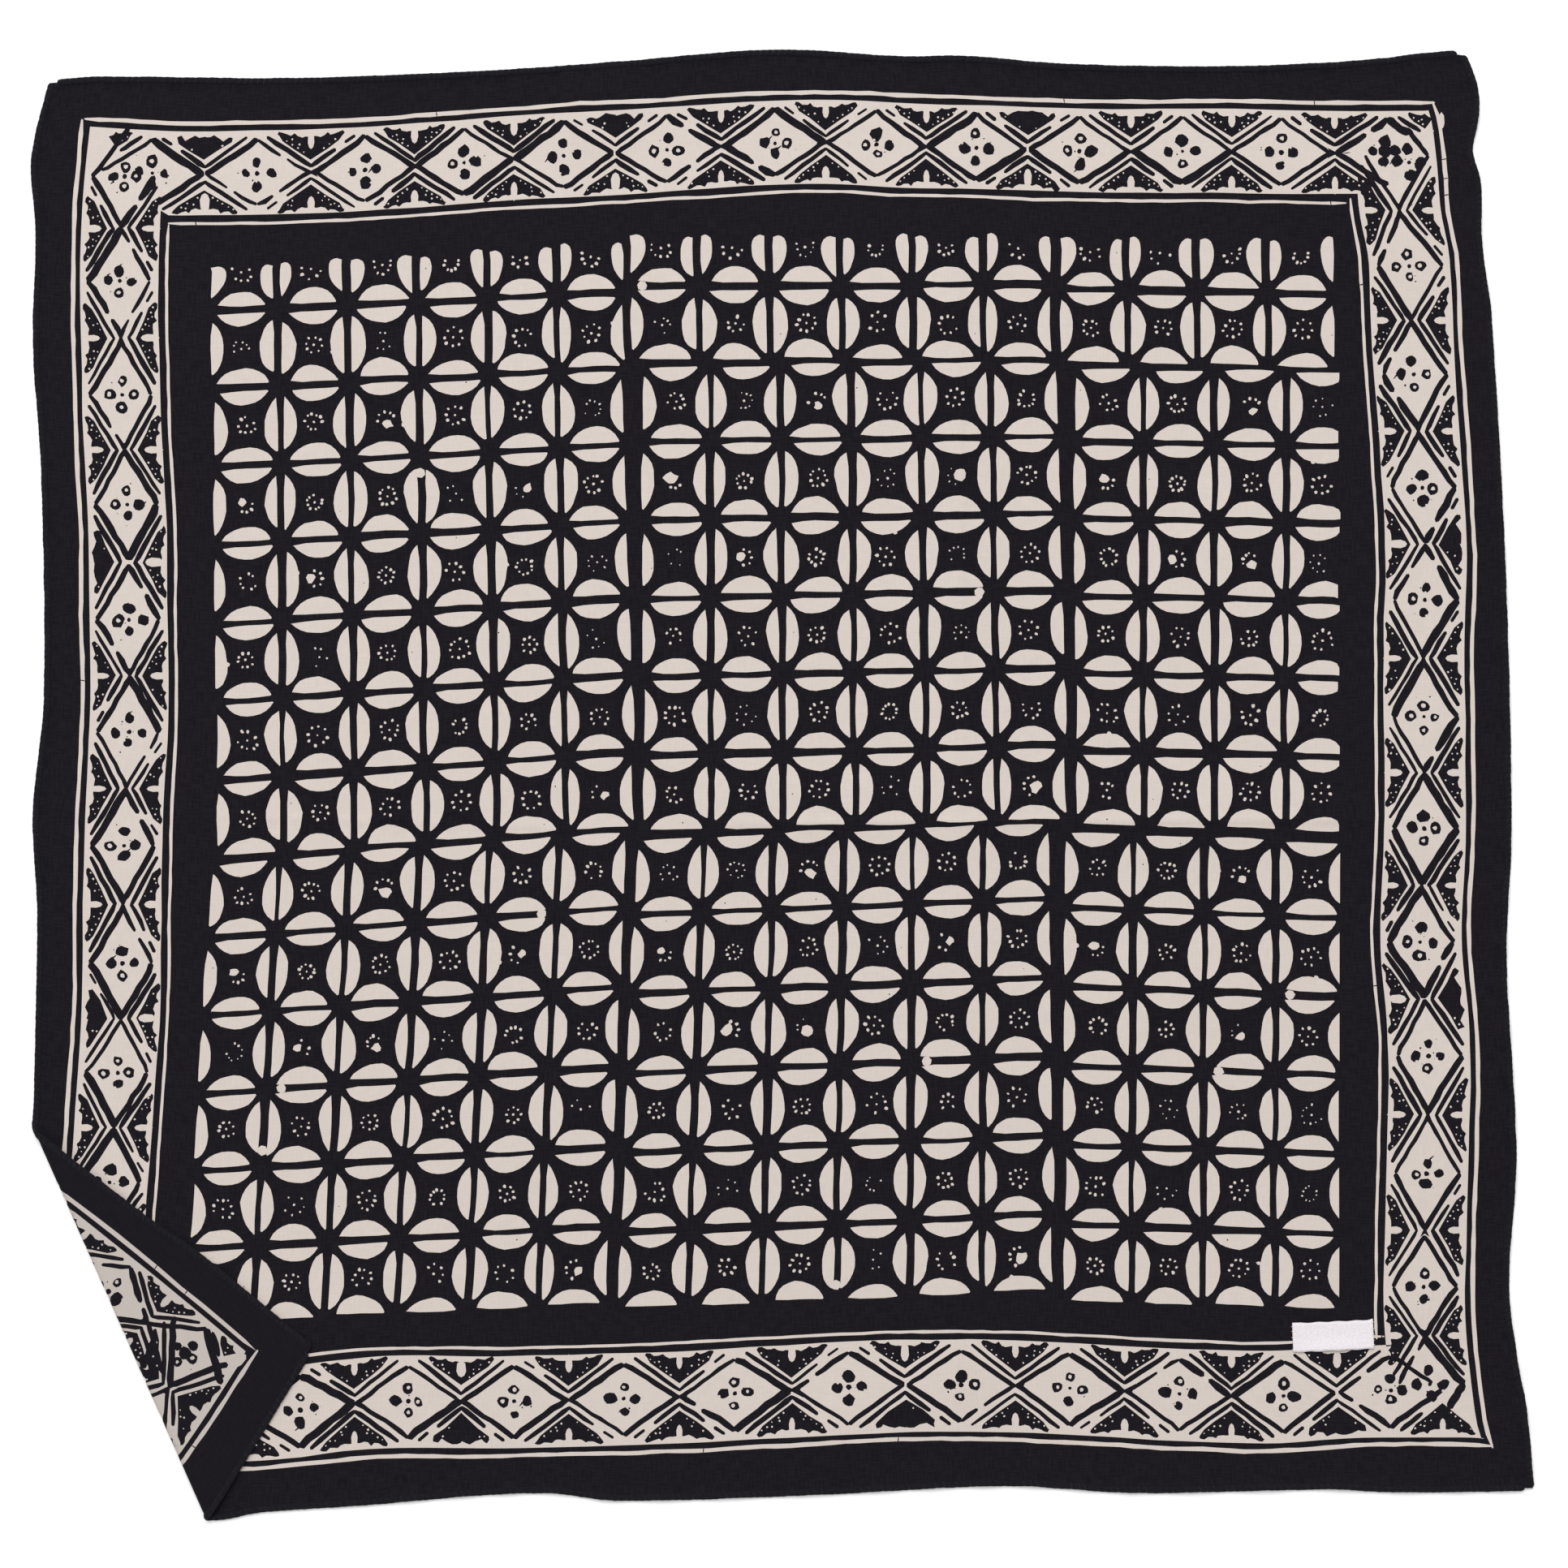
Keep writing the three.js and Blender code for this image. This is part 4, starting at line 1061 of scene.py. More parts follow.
def face_values(mesh, name, values):
    """Stores one number for each face under a name that a material reads."""
    attribute = mesh.attributes.new(name, "FLOAT", "FACE")
    attribute.data.foreach_set("value", np.asarray(values, np.float32))


def flat_map(mesh, places):
    """A UV map of the cut cloth: one unit is the whole span."""
    layer = mesh.uv_layers.new(name="flat")
    corner = np.empty(len(mesh.loops), int)
    mesh.loops.foreach_get("vertex_index", corner)
    layer.data.foreach_set("uv", (places[corner] / CLOTH_SPAN).astype(np.float32).ravel())


def build_cloth(sizes, drawing):
    """The cloth: a printed layer and a back layer, each cut along the print, joined round the edge."""
    shapes = draw_print(drawing)
    reach = sizes.fold_height / MM / 2
    step, back_step = sizes.grid_step / MM, sizes.back_grid_step / MM
    clearance = step * OUTLINE_CLEAR_SHARE
    edge = edge_stations(step, reach + 1)
    inner, back_inner = inner_places(step, reach), inner_places(back_step, reach)
    front, front_triangles, front_white = cut_square(shapes, edge, inner, clearance, reach)
    thinned = []
    for points, white in shapes:
        hidden = beyond_fold(points[:1])[0] < -BACK_DETAIL_REACH
        if hidden:
            points = points[::2] if len(points) > 7 else np.delete(points, slice(2, None, 3), 0)
        thinned.append((points, white))
    back, back_triangles, back_white = cut_square(thinned, edge, back_inner, clearance, reach)
    half_wall = sizes.thickness / MM / 2
    layers, normals = [], []
    for places, side in ((front, 1), (back, -1)):
        middle, normal = cloth_surface(places, sizes)
        layers.append(middle + normal * half_wall * side)
        normals.append(normal * side)
    numbers = []
    for places in (front, back):
        at = {}
        for k, (x, y) in enumerate(np.round(places, 2)):
            if min(x, y) < 0.01 or max(x, y) > CLOTH_SPAN - 0.01:
                at[(float(x), float(y))] = k
        numbers.append(at)
    ring = [p for p in numbers[0] if p in numbers[1]]
    ring.sort(key=lambda p: math.atan2(p[1] - CLOTH_SPAN / 2, p[0] - CLOTH_SPAN / 2))
    rim = []
    for here, there in zip(ring, ring[1:] + ring[:1]):
        a, b = numbers[0][here], numbers[0][there]
        c, d = numbers[1][there] + len(front), numbers[1][here] + len(front)
        rim += [(a, c, b), (a, d, c)]
    faces = np.concatenate([front_triangles, back_triangles[:, ::-1] + len(front), np.array(rim)])
    cloth = make_object("bandana_cloth", to_metres(np.concatenate(layers)), faces)
    mesh = cloth.data
    if len(mesh.polygons) != len(faces):
        raise RuntimeError("the cut cloth has faces that can't be made")
    is_back = np.concatenate([front_white * 0, back_white * 0 + 1, np.zeros(len(rim))])
    face_values(mesh, "white", np.concatenate([front_white, back_white, np.zeros(len(rim))]))
    face_values(mesh, "back", is_back)
    flat_map(mesh, np.concatenate([front, back]))
    mesh.shade_smooth()
    mesh.normals_split_custom_set_from_vertices(np.concatenate(normals).tolist())
    return cloth


def side_flat(name, t):
    """Places along one side of the flat square, at the fractions t."""
    along, end = t * CLOTH_SPAN, t * 0 + CLOTH_SPAN
    pairs = {
        "left": (t * 0, CLOTH_SPAN - along), "right": (end, CLOTH_SPAN - along),
        "top": (along, end), "bottom": (along, t * 0),
    }
    return np.column_stack(pairs[name])


def hem_frame(name, t, sizes):
    """The hem's centre line and its three ways: along, out of the cloth and up from the print."""
    middle, normal = cloth_surface(side_flat(name, t), sizes)
    ahead, _ = cloth_surface(side_flat(name, t + HEM_WAY_STEP), sizes)
    behind, _ = cloth_surface(side_flat(name, t - HEM_WAY_STEP), sizes)
    along = ahead - behind
    along /= np.linalg.norm(along, axis=1)[:, None]
    out = np.cross(along, normal)
    if name in ("left", "top"):
        out = -out
    out /= np.linalg.norm(out, axis=1)[:, None]
    return middle, along, out, np.cross(out, along) * (1 if name in ("left", "top") else -1)


def build_hem(name, sizes):
    """One side's rolled edge: a soft roll, drawn in a little at each stitch."""
    rng = random.Random(f"hem {name}")
    count = int(CLOTH_SPAN / (sizes.hem_station / MM))
    trim = HEM_END_TRIM[name]
    t = np.linspace(trim[0], CLOTH_SPAN - trim[1], count) / CLOTH_SPAN
    middle, _, out, up = hem_frame(name, t, sizes)
    knots = [either_way(rng, HEM_SWELL) for _ in range(count // HEM_SWELL_STATIONS + 2)]
    swell = 1 + np.interp(np.arange(count) / HEM_SWELL_STATIONS, np.arange(len(knots)), knots)
    pull = 1 - HEM_PULL * (0.5 + 0.5 * np.cos(2 * math.pi * t * CLOTH_SPAN * MM / sizes.stitch_pitch)) ** 2
    for k, part in enumerate(HEM_END_ROUNDING):
        swell[k] *= part
        swell[-1 - k] *= part
    half_width = sizes.hem_width / MM / 2 * swell * pull
    half_height = sizes.hem_height / MM / 2 * np.minimum(swell, 1) * pull
    vertices = []
    for k in range(HEM_SIDES):
        angle = 2 * math.pi * k / HEM_SIDES
        aside, above = half_width * math.cos(angle), half_height * math.sin(angle)
        vertices.append(middle + out * aside[:, None] + up * above[:, None])
    ring = np.stack(vertices, 1).reshape(-1, 3)
    faces = []
    for row in range(count - 1):
        for k in range(HEM_SIDES):
            a, b = row * HEM_SIDES + k, row * HEM_SIDES + (k + 1) % HEM_SIDES
            faces.append((a, b, b + HEM_SIDES, a + HEM_SIDES))
    faces.append(tuple(reversed(range(HEM_SIDES))))
    faces.append(tuple((count - 1) * HEM_SIDES + k for k in range(HEM_SIDES)))
    hem = make_object(f"rolled_hem_{name}", to_metres(ring), faces)
    flip_if_inside_out(hem)
    place = np.repeat(t * CLOTH_SPAN, HEM_SIDES)
    round_it = np.tile(np.arange(HEM_SIDES) * HEM_MAP_STEP, count)
    flat_map(hem.data, np.column_stack([place, round_it]))
    hem.data.shade_smooth()
    return hem


def flip_if_inside_out(made):
    """Turns the faces of a closed mesh outwards."""
    mesh = made.data
    mesh.calc_loop_triangles()
    points = np.empty(len(mesh.vertices) * 3)
    mesh.vertices.foreach_get("co", points)
    points = points.reshape(-1, 3)
    corners = np.empty(len(mesh.loop_triangles) * 3, int)
    mesh.loop_triangles.foreach_get("vertices", corners)
    a, b, c = (points[corners.reshape(-1, 3)[:, k]] - points.mean(axis=0) for k in range(3))
    if (a * np.cross(b, c)).sum() < 0:
        mesh.flip_normals()


def thread_loop(name, sides, round_sides):
    """A ring of thread of radius one, standing round the Y axis, modelled as a torus."""
    bpy.ops.object.select_all(action="DESELECT")
    bpy.ops.mesh.primitive_torus_add(
        major_radius=1.0, minor_radius=THREAD_RING_WALL, major_segments=sides, minor_segments=round_sides
    )
    made = bpy.context.active_object
    made.name = name
    bpy.ops.object.mode_set(mode="EDIT")
    bpy.ops.mesh.select_all(action="SELECT")
    bpy.ops.transform.rotate(value=math.pi / 2, orient_axis="X", center_override=(0, 0, 0))
    bpy.ops.object.mode_set(mode="OBJECT")
    return made


def copies_of(made, frames):
    """Joins copies of a small mesh into one, each in its own frame of a place and three ways."""
    points = np.array([tuple(vertex.co) for vertex in made.data.vertices])
    faces = [tuple(face.vertices) for face in made.data.polygons]
    vertices, joined = [], []
    for place, ways in frames:
        first = len(vertices) * len(points)
        vertices.append(place + points @ ways)
        joined += [tuple(first + k for k in face) for face in faces]
    name = made.name
    bpy.data.objects.remove(made, do_unlink=True)
    result = make_object(name, to_metres(np.concatenate(vertices)), joined)
    result.data.shade_smooth()
    return result


def build_hem_stitches(sizes):
    """Overcast thread round the whole hem, one slanted loop for each stitch."""
    frames = []
    for name in SIDES:
        rng = random.Random(f"stitches {name}")
        count = int(CLOTH_SPAN / (sizes.stitch_pitch / MM)) - 1
        t = (np.arange(count) + 1.0) * sizes.stitch_pitch / MM / CLOTH_SPAN
        t += np.array([either_way(rng, STITCH_SHIFT) for _ in t]) / CLOTH_SPAN
        for middle, along, out, up in zip(*hem_frame(name, t, sizes)):
            width = sizes.hem_width / MM / 2 * (1 - HEM_PULL) + THREAD_STANDS
            height = sizes.hem_height / MM / 2 * (1 - HEM_PULL) + THREAD_STANDS * 0.7
            lean = math.tan(STITCH_SLANT + either_way(rng, STITCH_SLANT_CHANGE))
            thick = sizes.thread_width / MM / (2 * THREAD_RING_WALL)
            ways = np.array([out * width + along * width * lean, along * thick, up * height])
            frames.append((middle, ways))
    return copies_of(thread_loop("hem_stitches", STITCH_SIDES, STITCH_WALL_SIDES), frames)


def label_point(x, y):
    """Plan points of the label from places along and across it."""
    cos, sin = math.cos(LABEL_TURN), math.sin(LABEL_TURN)
    return np.column_stack([x * cos - y * sin, x * sin + y * cos]) + np.array(LABEL_CENTRE)


def cloth_top(plan, sizes):
    """The height of the laid cloth's upper side at plan points."""
    return cloth_middle(flat_place(plan), sizes)[:, 2] + sizes.thickness / MM / 2


def build_label(sizes):
    """A strip of woven tape with both ends turned under, laid on the cloth."""
    half, width = sizes.label_length / MM / 2, sizes.label_width / MM
    wall = sizes.label_wall / MM
    bend = wall * LABEL_TIGHT_BEND
    low = wall * 0.5 + LABEL_GAP
    high = low + 2 * bend
    turned = half - bend - sizes.label_turned_end / MM
    path = [(x, low, 0, -1) for x in np.linspace(-turned, -half + bend, LABEL_END_STEPS)]
    path += [
        (-half + bend - bend * math.sin(a), low + bend - bend * math.cos(a), -math.sin(a), -math.cos(a))
        for a in np.linspace(0, math.pi, LABEL_BEND_STEPS)[1:-1]
    ]
    path += [(x, high, 0, 1) for x in np.linspace(-half + bend, half - bend, LABEL_STEPS)]
    path += [
        (half - bend + bend * math.sin(a), high - bend + bend * math.cos(a), math.sin(a), math.cos(a))
        for a in np.linspace(0, math.pi, LABEL_BEND_STEPS)[1:-1]
    ]
    path += [(x, low, 0, -1) for x in np.linspace(half - bend, turned, LABEL_END_STEPS)]
    across = np.linspace(-width / 2, width / 2, LABEL_ROWS)
    outer, inner, maps = [], [], []
    travelled = 0.0
    for k, (x, z, nx, nz) in enumerate(path):
        if k:
            travelled += math.hypot(x - path[k - 1][0], z - path[k - 1][1])
        middle_weight = max(1 - (x / half) ** 2, 0)
        is_top = smooth((z - low) / (high - low))
        wave = SELVEDGE_WAVE * np.sin(x * SELVEDGE_TURNS)
        y = across + wave * np.sign(across) * (np.abs(across) > width / 2 - 0.1)
        y = y + LABEL_END_SPREAD * is_top * (np.abs(x) / half) ** 10 * (across > width / 2 - 0.1)
        lift = LABEL_EDGE_LIFT * middle_weight * smooth(-across / (width / 2)) * is_top
        dip = -LABEL_MIDDLE_DIP * (high - low) * middle_weight * is_top * (1 - np.abs(across) / (width / 2))
        base = cloth_top(label_point(across * 0 + x, y), sizes)
        plan_out = label_point(across * 0 + x + nx * wall / 2, y)
        plan_in = label_point(across * 0 + x - nx * wall / 2, y)
        outer.append(np.column_stack([plan_out, base + z + nz * wall / 2 + lift + dip]))
        inner.append(np.column_stack([plan_in, base + z - nz * wall / 2 + lift + dip]))
        maps.append(np.column_stack([across * 0 + travelled, across + width]))
    rows, columns = len(path), LABEL_ROWS
    vertices = np.concatenate([np.concatenate(outer), np.concatenate(inner)])
    under = rows * columns
    faces = []
    for i in range(rows - 1):
        for j in range(columns - 1):
            a = i * columns + j
            faces.append((a, a + columns, a + columns + 1, a + 1))
            faces.append((a + under, a + 1 + under, a + columns + 1 + under, a + columns + under))
    for i in range(rows - 1):
        for j, order in ((0, 1), (columns - 1, -1)):
            a = i * columns + j
            faces.append((a, a + under, a + columns + under, a + columns)[::order])
    for j in range(columns - 1):
        for i, order in ((0, -1), (rows - 1, 1)):
            a = i * columns + j
            faces.append((a, a + under, a + 1 + under, a + 1)[::order])
    made = make_object("label_tape", to_metres(vertices), faces)
    flip_if_inside_out(made)
    flat_map(made.data, np.concatenate(maps + maps))
    made.data.shade_smooth()
    return made


def build_label_stitches(sizes):
    """Short thread stitches over both ends of the label."""
    rng = random.Random("label stitches")
    half, width = sizes.label_length / MM / 2, sizes.label_width / MM
    frames = []
    for end in (-1, 1):
        side = width / 2 - LABEL_STITCH_SIDE
        for station in np.linspace(-side, side, LABEL_STITCHES):
            x = np.array([end * (half - LABEL_STITCH_END)])
            y = np.array([station + either_way(rng, LABEL_STITCH_SHIFT)])
            plan = label_point(x, y)
            top = cloth_top(plan, sizes) + LABEL_LAYERS * sizes.label_wall / MM
            turn = LABEL_TURN + either_way(rng, LABEL_STITCH_TURN)
            along, aside = (math.cos(turn), math.sin(turn), 0), (-math.sin(turn), math.cos(turn), 0)
            ways = np.array([along, aside, (0, 0, 1)]) * np.array(LABEL_STITCH_SIZE)[:, None]
            frames.append((np.array((*plan[0], top[0] - LABEL_STITCH_SINK)), ways))
    return copies_of(thread_loop("label_stitches", LABEL_STITCH_SIDES, LABEL_STITCH_WALL_SIDES), frames)


def linear(colour):
    """A screen colour as the light that it stands for, with an alpha of one."""
    value = [((c + 0.055) / 1.055) ** 2.4 if c > 0.04045 else c / 12.92 for c in colour]
    return (*value, 1.0)


class Finish:
    """A material that is built node by node."""

    def __init__(self, name, roughness, sheen=0.0, specular=0.3):
        self.material = bpy.data.materials.new(name)
        self.material.use_nodes = True
        self.tree = self.material.node_tree
        self.tree.nodes.clear()
        self.surface = self.node("ShaderNodeBsdfPrincipled", {
            "Roughness": roughness, "Specular IOR Level": specular,
            "Sheen Weight": sheen, "Sheen Roughness": 0.5,
        })
        self.node("ShaderNodeOutputMaterial", {"Surface": self.surface.outputs[0]})
        places = self.node("ShaderNodeUVMap", uv_map="flat")
        self.places = places.outputs[0]

    def node(self, kind, values=None, **settings):
        made = self.tree.nodes.new(kind)
        for name, value in settings.items():
            setattr(made, name, value)
        for socket, value in (values or {}).items():
            if isinstance(value, bpy.types.NodeSocket):
                self.tree.links.new(value, made.inputs[socket])
            else:
                made.inputs[socket].default_value = value
        return made

    def noise(self, stretch, detail=2.0, roughness=0.6):
        scaled = self.node("ShaderNodeMapping", {"Vector": self.places, "Scale": (*stretch, 1.0)})
        made = self.node("ShaderNodeTexNoise", {
            "Vector": scaled.outputs[0], "Scale": 1.0, "Detail": detail, "Roughness": roughness,
        })
        return made.outputs[0]

    def math(self, operation, first, second=0.0, third=0.0):
        return self.node("ShaderNodeMath", {0: first, 1: second, 2: third}, operation=operation).outputs[0]

    def ramp(self, value, low, high, start, end):
        made = self.node("ShaderNodeMapRange", {
            "Value": value, "From Min": low, "From Max": high, "To Min": start, "To Max": end,
        })
        return made.outputs[0]

    def mix(self, factor, first, second):
        return self.node("ShaderNodeMix", {0: factor, 6: first, 7: second}, data_type="RGBA").outputs[2]

    def weave(self, threads, strength):
        """A plain weave as a bump: warp and weft take turns on top."""
        scaled = self.node("ShaderNodeMapping", {"Vector": self.places, "Scale": (threads, threads, 1.0)})
        parts = self.node("ShaderNodeSeparateXYZ", {0: scaled.outputs[0]})
        waves = [self.math("SINE", self.math("MULTIPLY", part, math.pi)) for part in parts.outputs[:2]]
        height = self.math("MULTIPLY", waves[0], waves[1])
        bump = self.node("ShaderNodeBump", {"Strength": strength, "Distance": 0.0001, "Height": height})
        self.tree.links.new(bump.outputs[0], self.surface.inputs["Normal"])

    def colour(self, socket):
        self.tree.links.new(socket, self.surface.inputs["Base Color"])


def cloth_finish(sizes, colours):
    """Dyed and undyed cotton by the cloth's white attribute, paler on its back.
    A thread scale noise paints a highlight on the dyed threads and shade between the undyed ones.
    """
    finish = Finish("printed cotton", 0.92, sheen=0.02, specular=0.08)
    threads = CLOTH_SPAN * MM / sizes.thread_pitch
    white = finish.node("ShaderNodeAttribute", attribute_name="white").outputs["Fac"]
    back = finish.node("ShaderNodeAttribute", attribute_name="back").outputs["Fac"]
    warp = finish.noise((threads * 0.9, threads * 0.09), 0.0)
    weft = finish.noise((threads * 0.09, threads * 0.9), 0.0)
    grain = finish.math("ADD", warp, weft)
    cloud = finish.noise((60.0, 60.0), 1.0)
    # lit is the weave's painted light: high on the tops of the threads, low between them
    lit = finish.ramp(grain, 0.75, 1.25, 0.0, 1.0)
    # The ink takes a painted highlight on its threads where lit is high
    ink = finish.mix(lit, linear(colours.ink), linear(colours.ink_thread_highlight))
    # The cream takes a painted shade between its threads where lit is low
    cream = finish.mix(lit, linear(colours.cream_thread_shade_and_mottle), linear(colours.cream))
    # A coarse noise darkens the cream at random toward the same colour: a mottle of the cotton, not shade
    cream = finish.mix(finish.ramp(cloud, 0.42, 0.75, 0.0, 0.5), cream, linear(colours.cream_thread_shade_and_mottle))
    printed = finish.mix(white, ink, cream)
    dull = finish.mix(white, linear(colours.ink_back), linear(colours.cream_back))
    dull = finish.mix(0.6, printed, dull)
    finish.colour(finish.mix(back, printed, dull))
    finish.weave(threads, 0.25)
    return finish.material


def plain_finish(name, colour, shade, sizes, roughness, sheen, strength=0.2, specular=0.2):
    """Woven cloth of one colour, with a little painted shade between its threads from a thread scale noise."""
    finish = Finish(name, roughness, sheen, specular)
    threads = CLOTH_SPAN * MM / sizes.thread_pitch
    grain = finish.noise((threads * 0.5, threads * 0.5), 2.0)
    finish.colour(finish.mix(finish.ramp(grain, 0.35, 0.65, 0.0, 1.0), linear(colour), linear(shade)))
    finish.weave(threads, strength)
    return finish.material


def size_prop(name, default, description):
    """A length that the user can change."""
    return FloatProperty(
        name=name, default=default, min=0.0, unit="LENGTH", precision=5, description=description
    )


def colour_prop(name, default, description):
    """A screen colour, given as three numbers up to 255."""
    return FloatVectorProperty(
        name=name, default=tuple(c / 255 for c in default), size=3, min=0.0, max=1.0, subtype="COLOR_GAMMA",
        description=description,
    )


class BandanaSizes(bpy.types.PropertyGroup):
    """Sizes of the cloth, its hem and its label."""

    thickness: size_prop("Thickness", 0.0005, "Thickness of the cloth, a little over the real one")
    flap_rest: size_prop("Turned Rest", 0.00145, "Height of the turned corner's middle, away from the fold")
    fold_height: size_prop("Fold Height", 0.00375, "Height of the roll of cloth along the fold")
    grid_step: size_prop("Grid Step", 0.0041, "Spacing of the cloth's even grid")
    back_grid_step: size_prop("Back Grid Step", 0.0062, "Spacing of the even grid of the cloth's back")
    hem_width: size_prop("Hem Width", 0.0025, "Width of the rolled hem")
    hem_height: size_prop("Hem Height", 0.0016, "Height of the rolled hem")
    hem_station: size_prop("Hem Station", 0.0006, "Spacing of the hem's rings of vertices")
    stitch_pitch: size_prop("Stitch Pitch", 0.0024, "Distance from one hem stitch to the next")
    thread_width: size_prop("Thread Width", 0.00022, "Width of the hem's sewing thread")
    thread_pitch: size_prop("Weave Pitch", 0.00045, "Distance from one thread of the weave to the next")
    label_length: size_prop("Label Length", 0.0297, "Length of the label, once its ends are turned under")
    label_width: size_prop("Label Width", 0.0107, "Width of the label tape")
    label_wall: size_prop("Label Wall", 0.00024, "Thickness of the label tape")
    label_turned_end: size_prop("Label Turned End", 0.0032, "How much of the label is turned under at each end")


class BandanaPrint(bpy.types.PropertyGroup):
    """Sizes of the print."""

    petal_length_across: size_prop("Petal Length Across", 0.0182, "Length of the petals that lie across")
    petal_depth_upper: size_prop("Petal Depth Upper", 0.0058, "Depth of the upper half of one that lies across")
    petal_depth_lower: size_prop("Petal Depth Lower", 0.0051, "Depth of the lower half of one that lies across")
    petal_length_down: size_prop("Petal Length Down", 0.0198, "Length of the petals that run down the cloth")
    petal_depth_down: size_prop("Petal Depth Down", 0.0048, "Depth of each half of a petal that runs down")
    petal_slot: size_prop("Petal Slot", 0.0025, "Width of the dark slot between the two halves of a petal")
    dot_radius: size_prop("Dot Radius", 0.0005, "Radius of the dots between the petals")
    ring_radius: size_prop("Ring Radius", 0.0031, "Radius of the rings that the dots stand in")
    outer_line: size_prop("Outer Line", 0.00152, "Width of the white line round the print")
    inner_line: size_prop("Inner Line", 0.0011, "Width of the white line inside the band")
    ground_start: size_prop("Ground Start", 0.00285, "From the outer white line to the band's white ground")
    ground_end: size_prop("Ground End", 0.0030, "From the band's white ground to the inner white line")


class BandanaColours(bpy.types.PropertyGroup):
    """Colours of the cloth, the threads, the label and the floor."""

    ink: colour_prop("Ink", (19, 17, 22), "Black dye")
    # ink_thread_highlight is a painted highlight on the tops of the dyed threads
    ink_thread_highlight: colour_prop("Ink Thread Highlight", (26, 24, 29), "Black dye where the threads catch the light")
    ink_back: colour_prop("Ink Back", (22, 20, 25), "Black dye on the back of the cloth")
    cream: colour_prop("Cream", (201, 191, 183), "Undyed cotton")
    # painted shade between the undyed threads, and also the darker tone of the cotton's random mottle
    cream_thread_shade_and_mottle: colour_prop("Cream Thread Shade And Mottle", (196, 186, 179), "Undyed cotton between the threads")
    cream_back: colour_prop("Cream Back", (170, 161, 157), "Undyed cotton on the back of the cloth")
    hem: colour_prop("Hem", (27, 25, 31), "Dyed cotton of the rolled hem")
    # hem_shade is the painted shade between the hem's threads
    hem_shade: colour_prop("Hem Shade", (17, 16, 21), "The hem between its threads")
    thread: colour_prop("Thread", (34, 32, 39), "Thread of the hem")
    label: colour_prop("Label", (226, 219, 223), "White tape")
    # label_shade is the painted shade between the tape's threads
    label_shade: colour_prop("Label Shade", (214, 207, 211), "The tape between its threads")
    floor: colour_prop("Floor", (252, 252, 252), "The floor under the cloth")


class BandanaStage(bpy.types.PropertyGroup):
    """The camera and the light."""

    camera_height: size_prop("Camera Height", 1.3, "Height of the camera over the cloth")
    view_width: size_prop("View Width", 0.5796, "Width of the floor that the camera takes in")
    camera_right: size_prop("Camera Right", 0.00045, "How far right of the cloth's middle the camera stands")
    camera_up: size_prop("Camera Up", 0.0003, "How far up from the cloth's middle the camera stands")
    floor_span: size_prop("Floor Span", 8.0, "Width of the floor")
    light_span: size_prop("Light Span", 2.2, "Width of the soft light")
    light_power: FloatProperty(name="Light Power", default=92.0, min=0.0, description="Watts of the soft light")
    sky: FloatProperty(name="Sky", default=0.62, min=0.0, description="Strength of the light from all round")


def in_bodies(made, nodes):
    """Tells the frame what a piece moves with, and hides the parts of the imported model that it stands for."""
    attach(made, "root")
    if nodes:
        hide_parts(*nodes)


class BANDANA_OT_cloth(bpy.types.Operator):
    """Make the printed square with its lower left corner turned over"""

    bl_idname = "bandana.cloth"
    bl_label = "Make Cloth"

    def execute(self, context):
        scene = context.scene
        cloth = build_cloth(scene.bandana_sizes, scene.bandana_print)
        cloth.data.materials.append(cloth_finish(scene.bandana_sizes, scene.bandana_colours))
        in_bodies(cloth, ("cloth_panel", "folded_corner"))
        return {"FINISHED"}


class BANDANA_OT_hems(bpy.types.Operator):
    """Make the four rolled hems"""

    bl_idname = "bandana.hems"
    bl_label = "Make Hems"

    def execute(self, context):
        scene = context.scene
        sizes, colours = scene.bandana_sizes, scene.bandana_colours
        finish = plain_finish("hem cotton", colours.hem, colours.hem_shade, sizes, 0.9, 0.03, specular=0.1)
        for name in SIDES:
            hem = build_hem(name, sizes)
            hem.data.materials.append(finish)
            in_bodies(hem, HEM_NODES[name])
        return {"FINISHED"}


class BANDANA_OT_stitches(bpy.types.Operator):
    """Make the overcast stitches round the hem"""

    bl_idname = "bandana.stitches"
    bl_label = "Make Hem Stitches"

    def execute(self, context):
        scene = context.scene
        sizes, colours = scene.bandana_sizes, scene.bandana_colours
        stitches = build_hem_stitches(sizes)
        stitches.data.materials.append(thread_finish("hem thread", colours.thread))
        in_bodies(stitches, ())
        return {"FINISHED"}


def thread_finish(name, colour):
    """Sewing thread of one colour."""
    finish = Finish(name, 0.8, 0.1, 0.3)
    finish.surface.inputs["Base Color"].default_value = linear(colour)
    return finish.material


class BANDANA_OT_label(bpy.types.Operator):
    """Make the bare label tape and the stitches at its ends"""

    bl_idname = "bandana.label"
    bl_label = "Make Label"

    def execute(self, context):
        scene = context.scene
        sizes, colours = scene.bandana_sizes, scene.bandana_colours
        label = build_label(sizes)
        label.data.materials.append(
            plain_finish("label tape", colours.label, colours.label_shade, sizes, 0.55, 0.1, 0.15, 0.4)
        )
        in_bodies(label, ("label",))
        stitches = build_label_stitches(sizes)
        stitches.data.materials.append(thread_finish("label thread", colours.label))
        in_bodies(stitches, ())
        return {"FINISHED"}


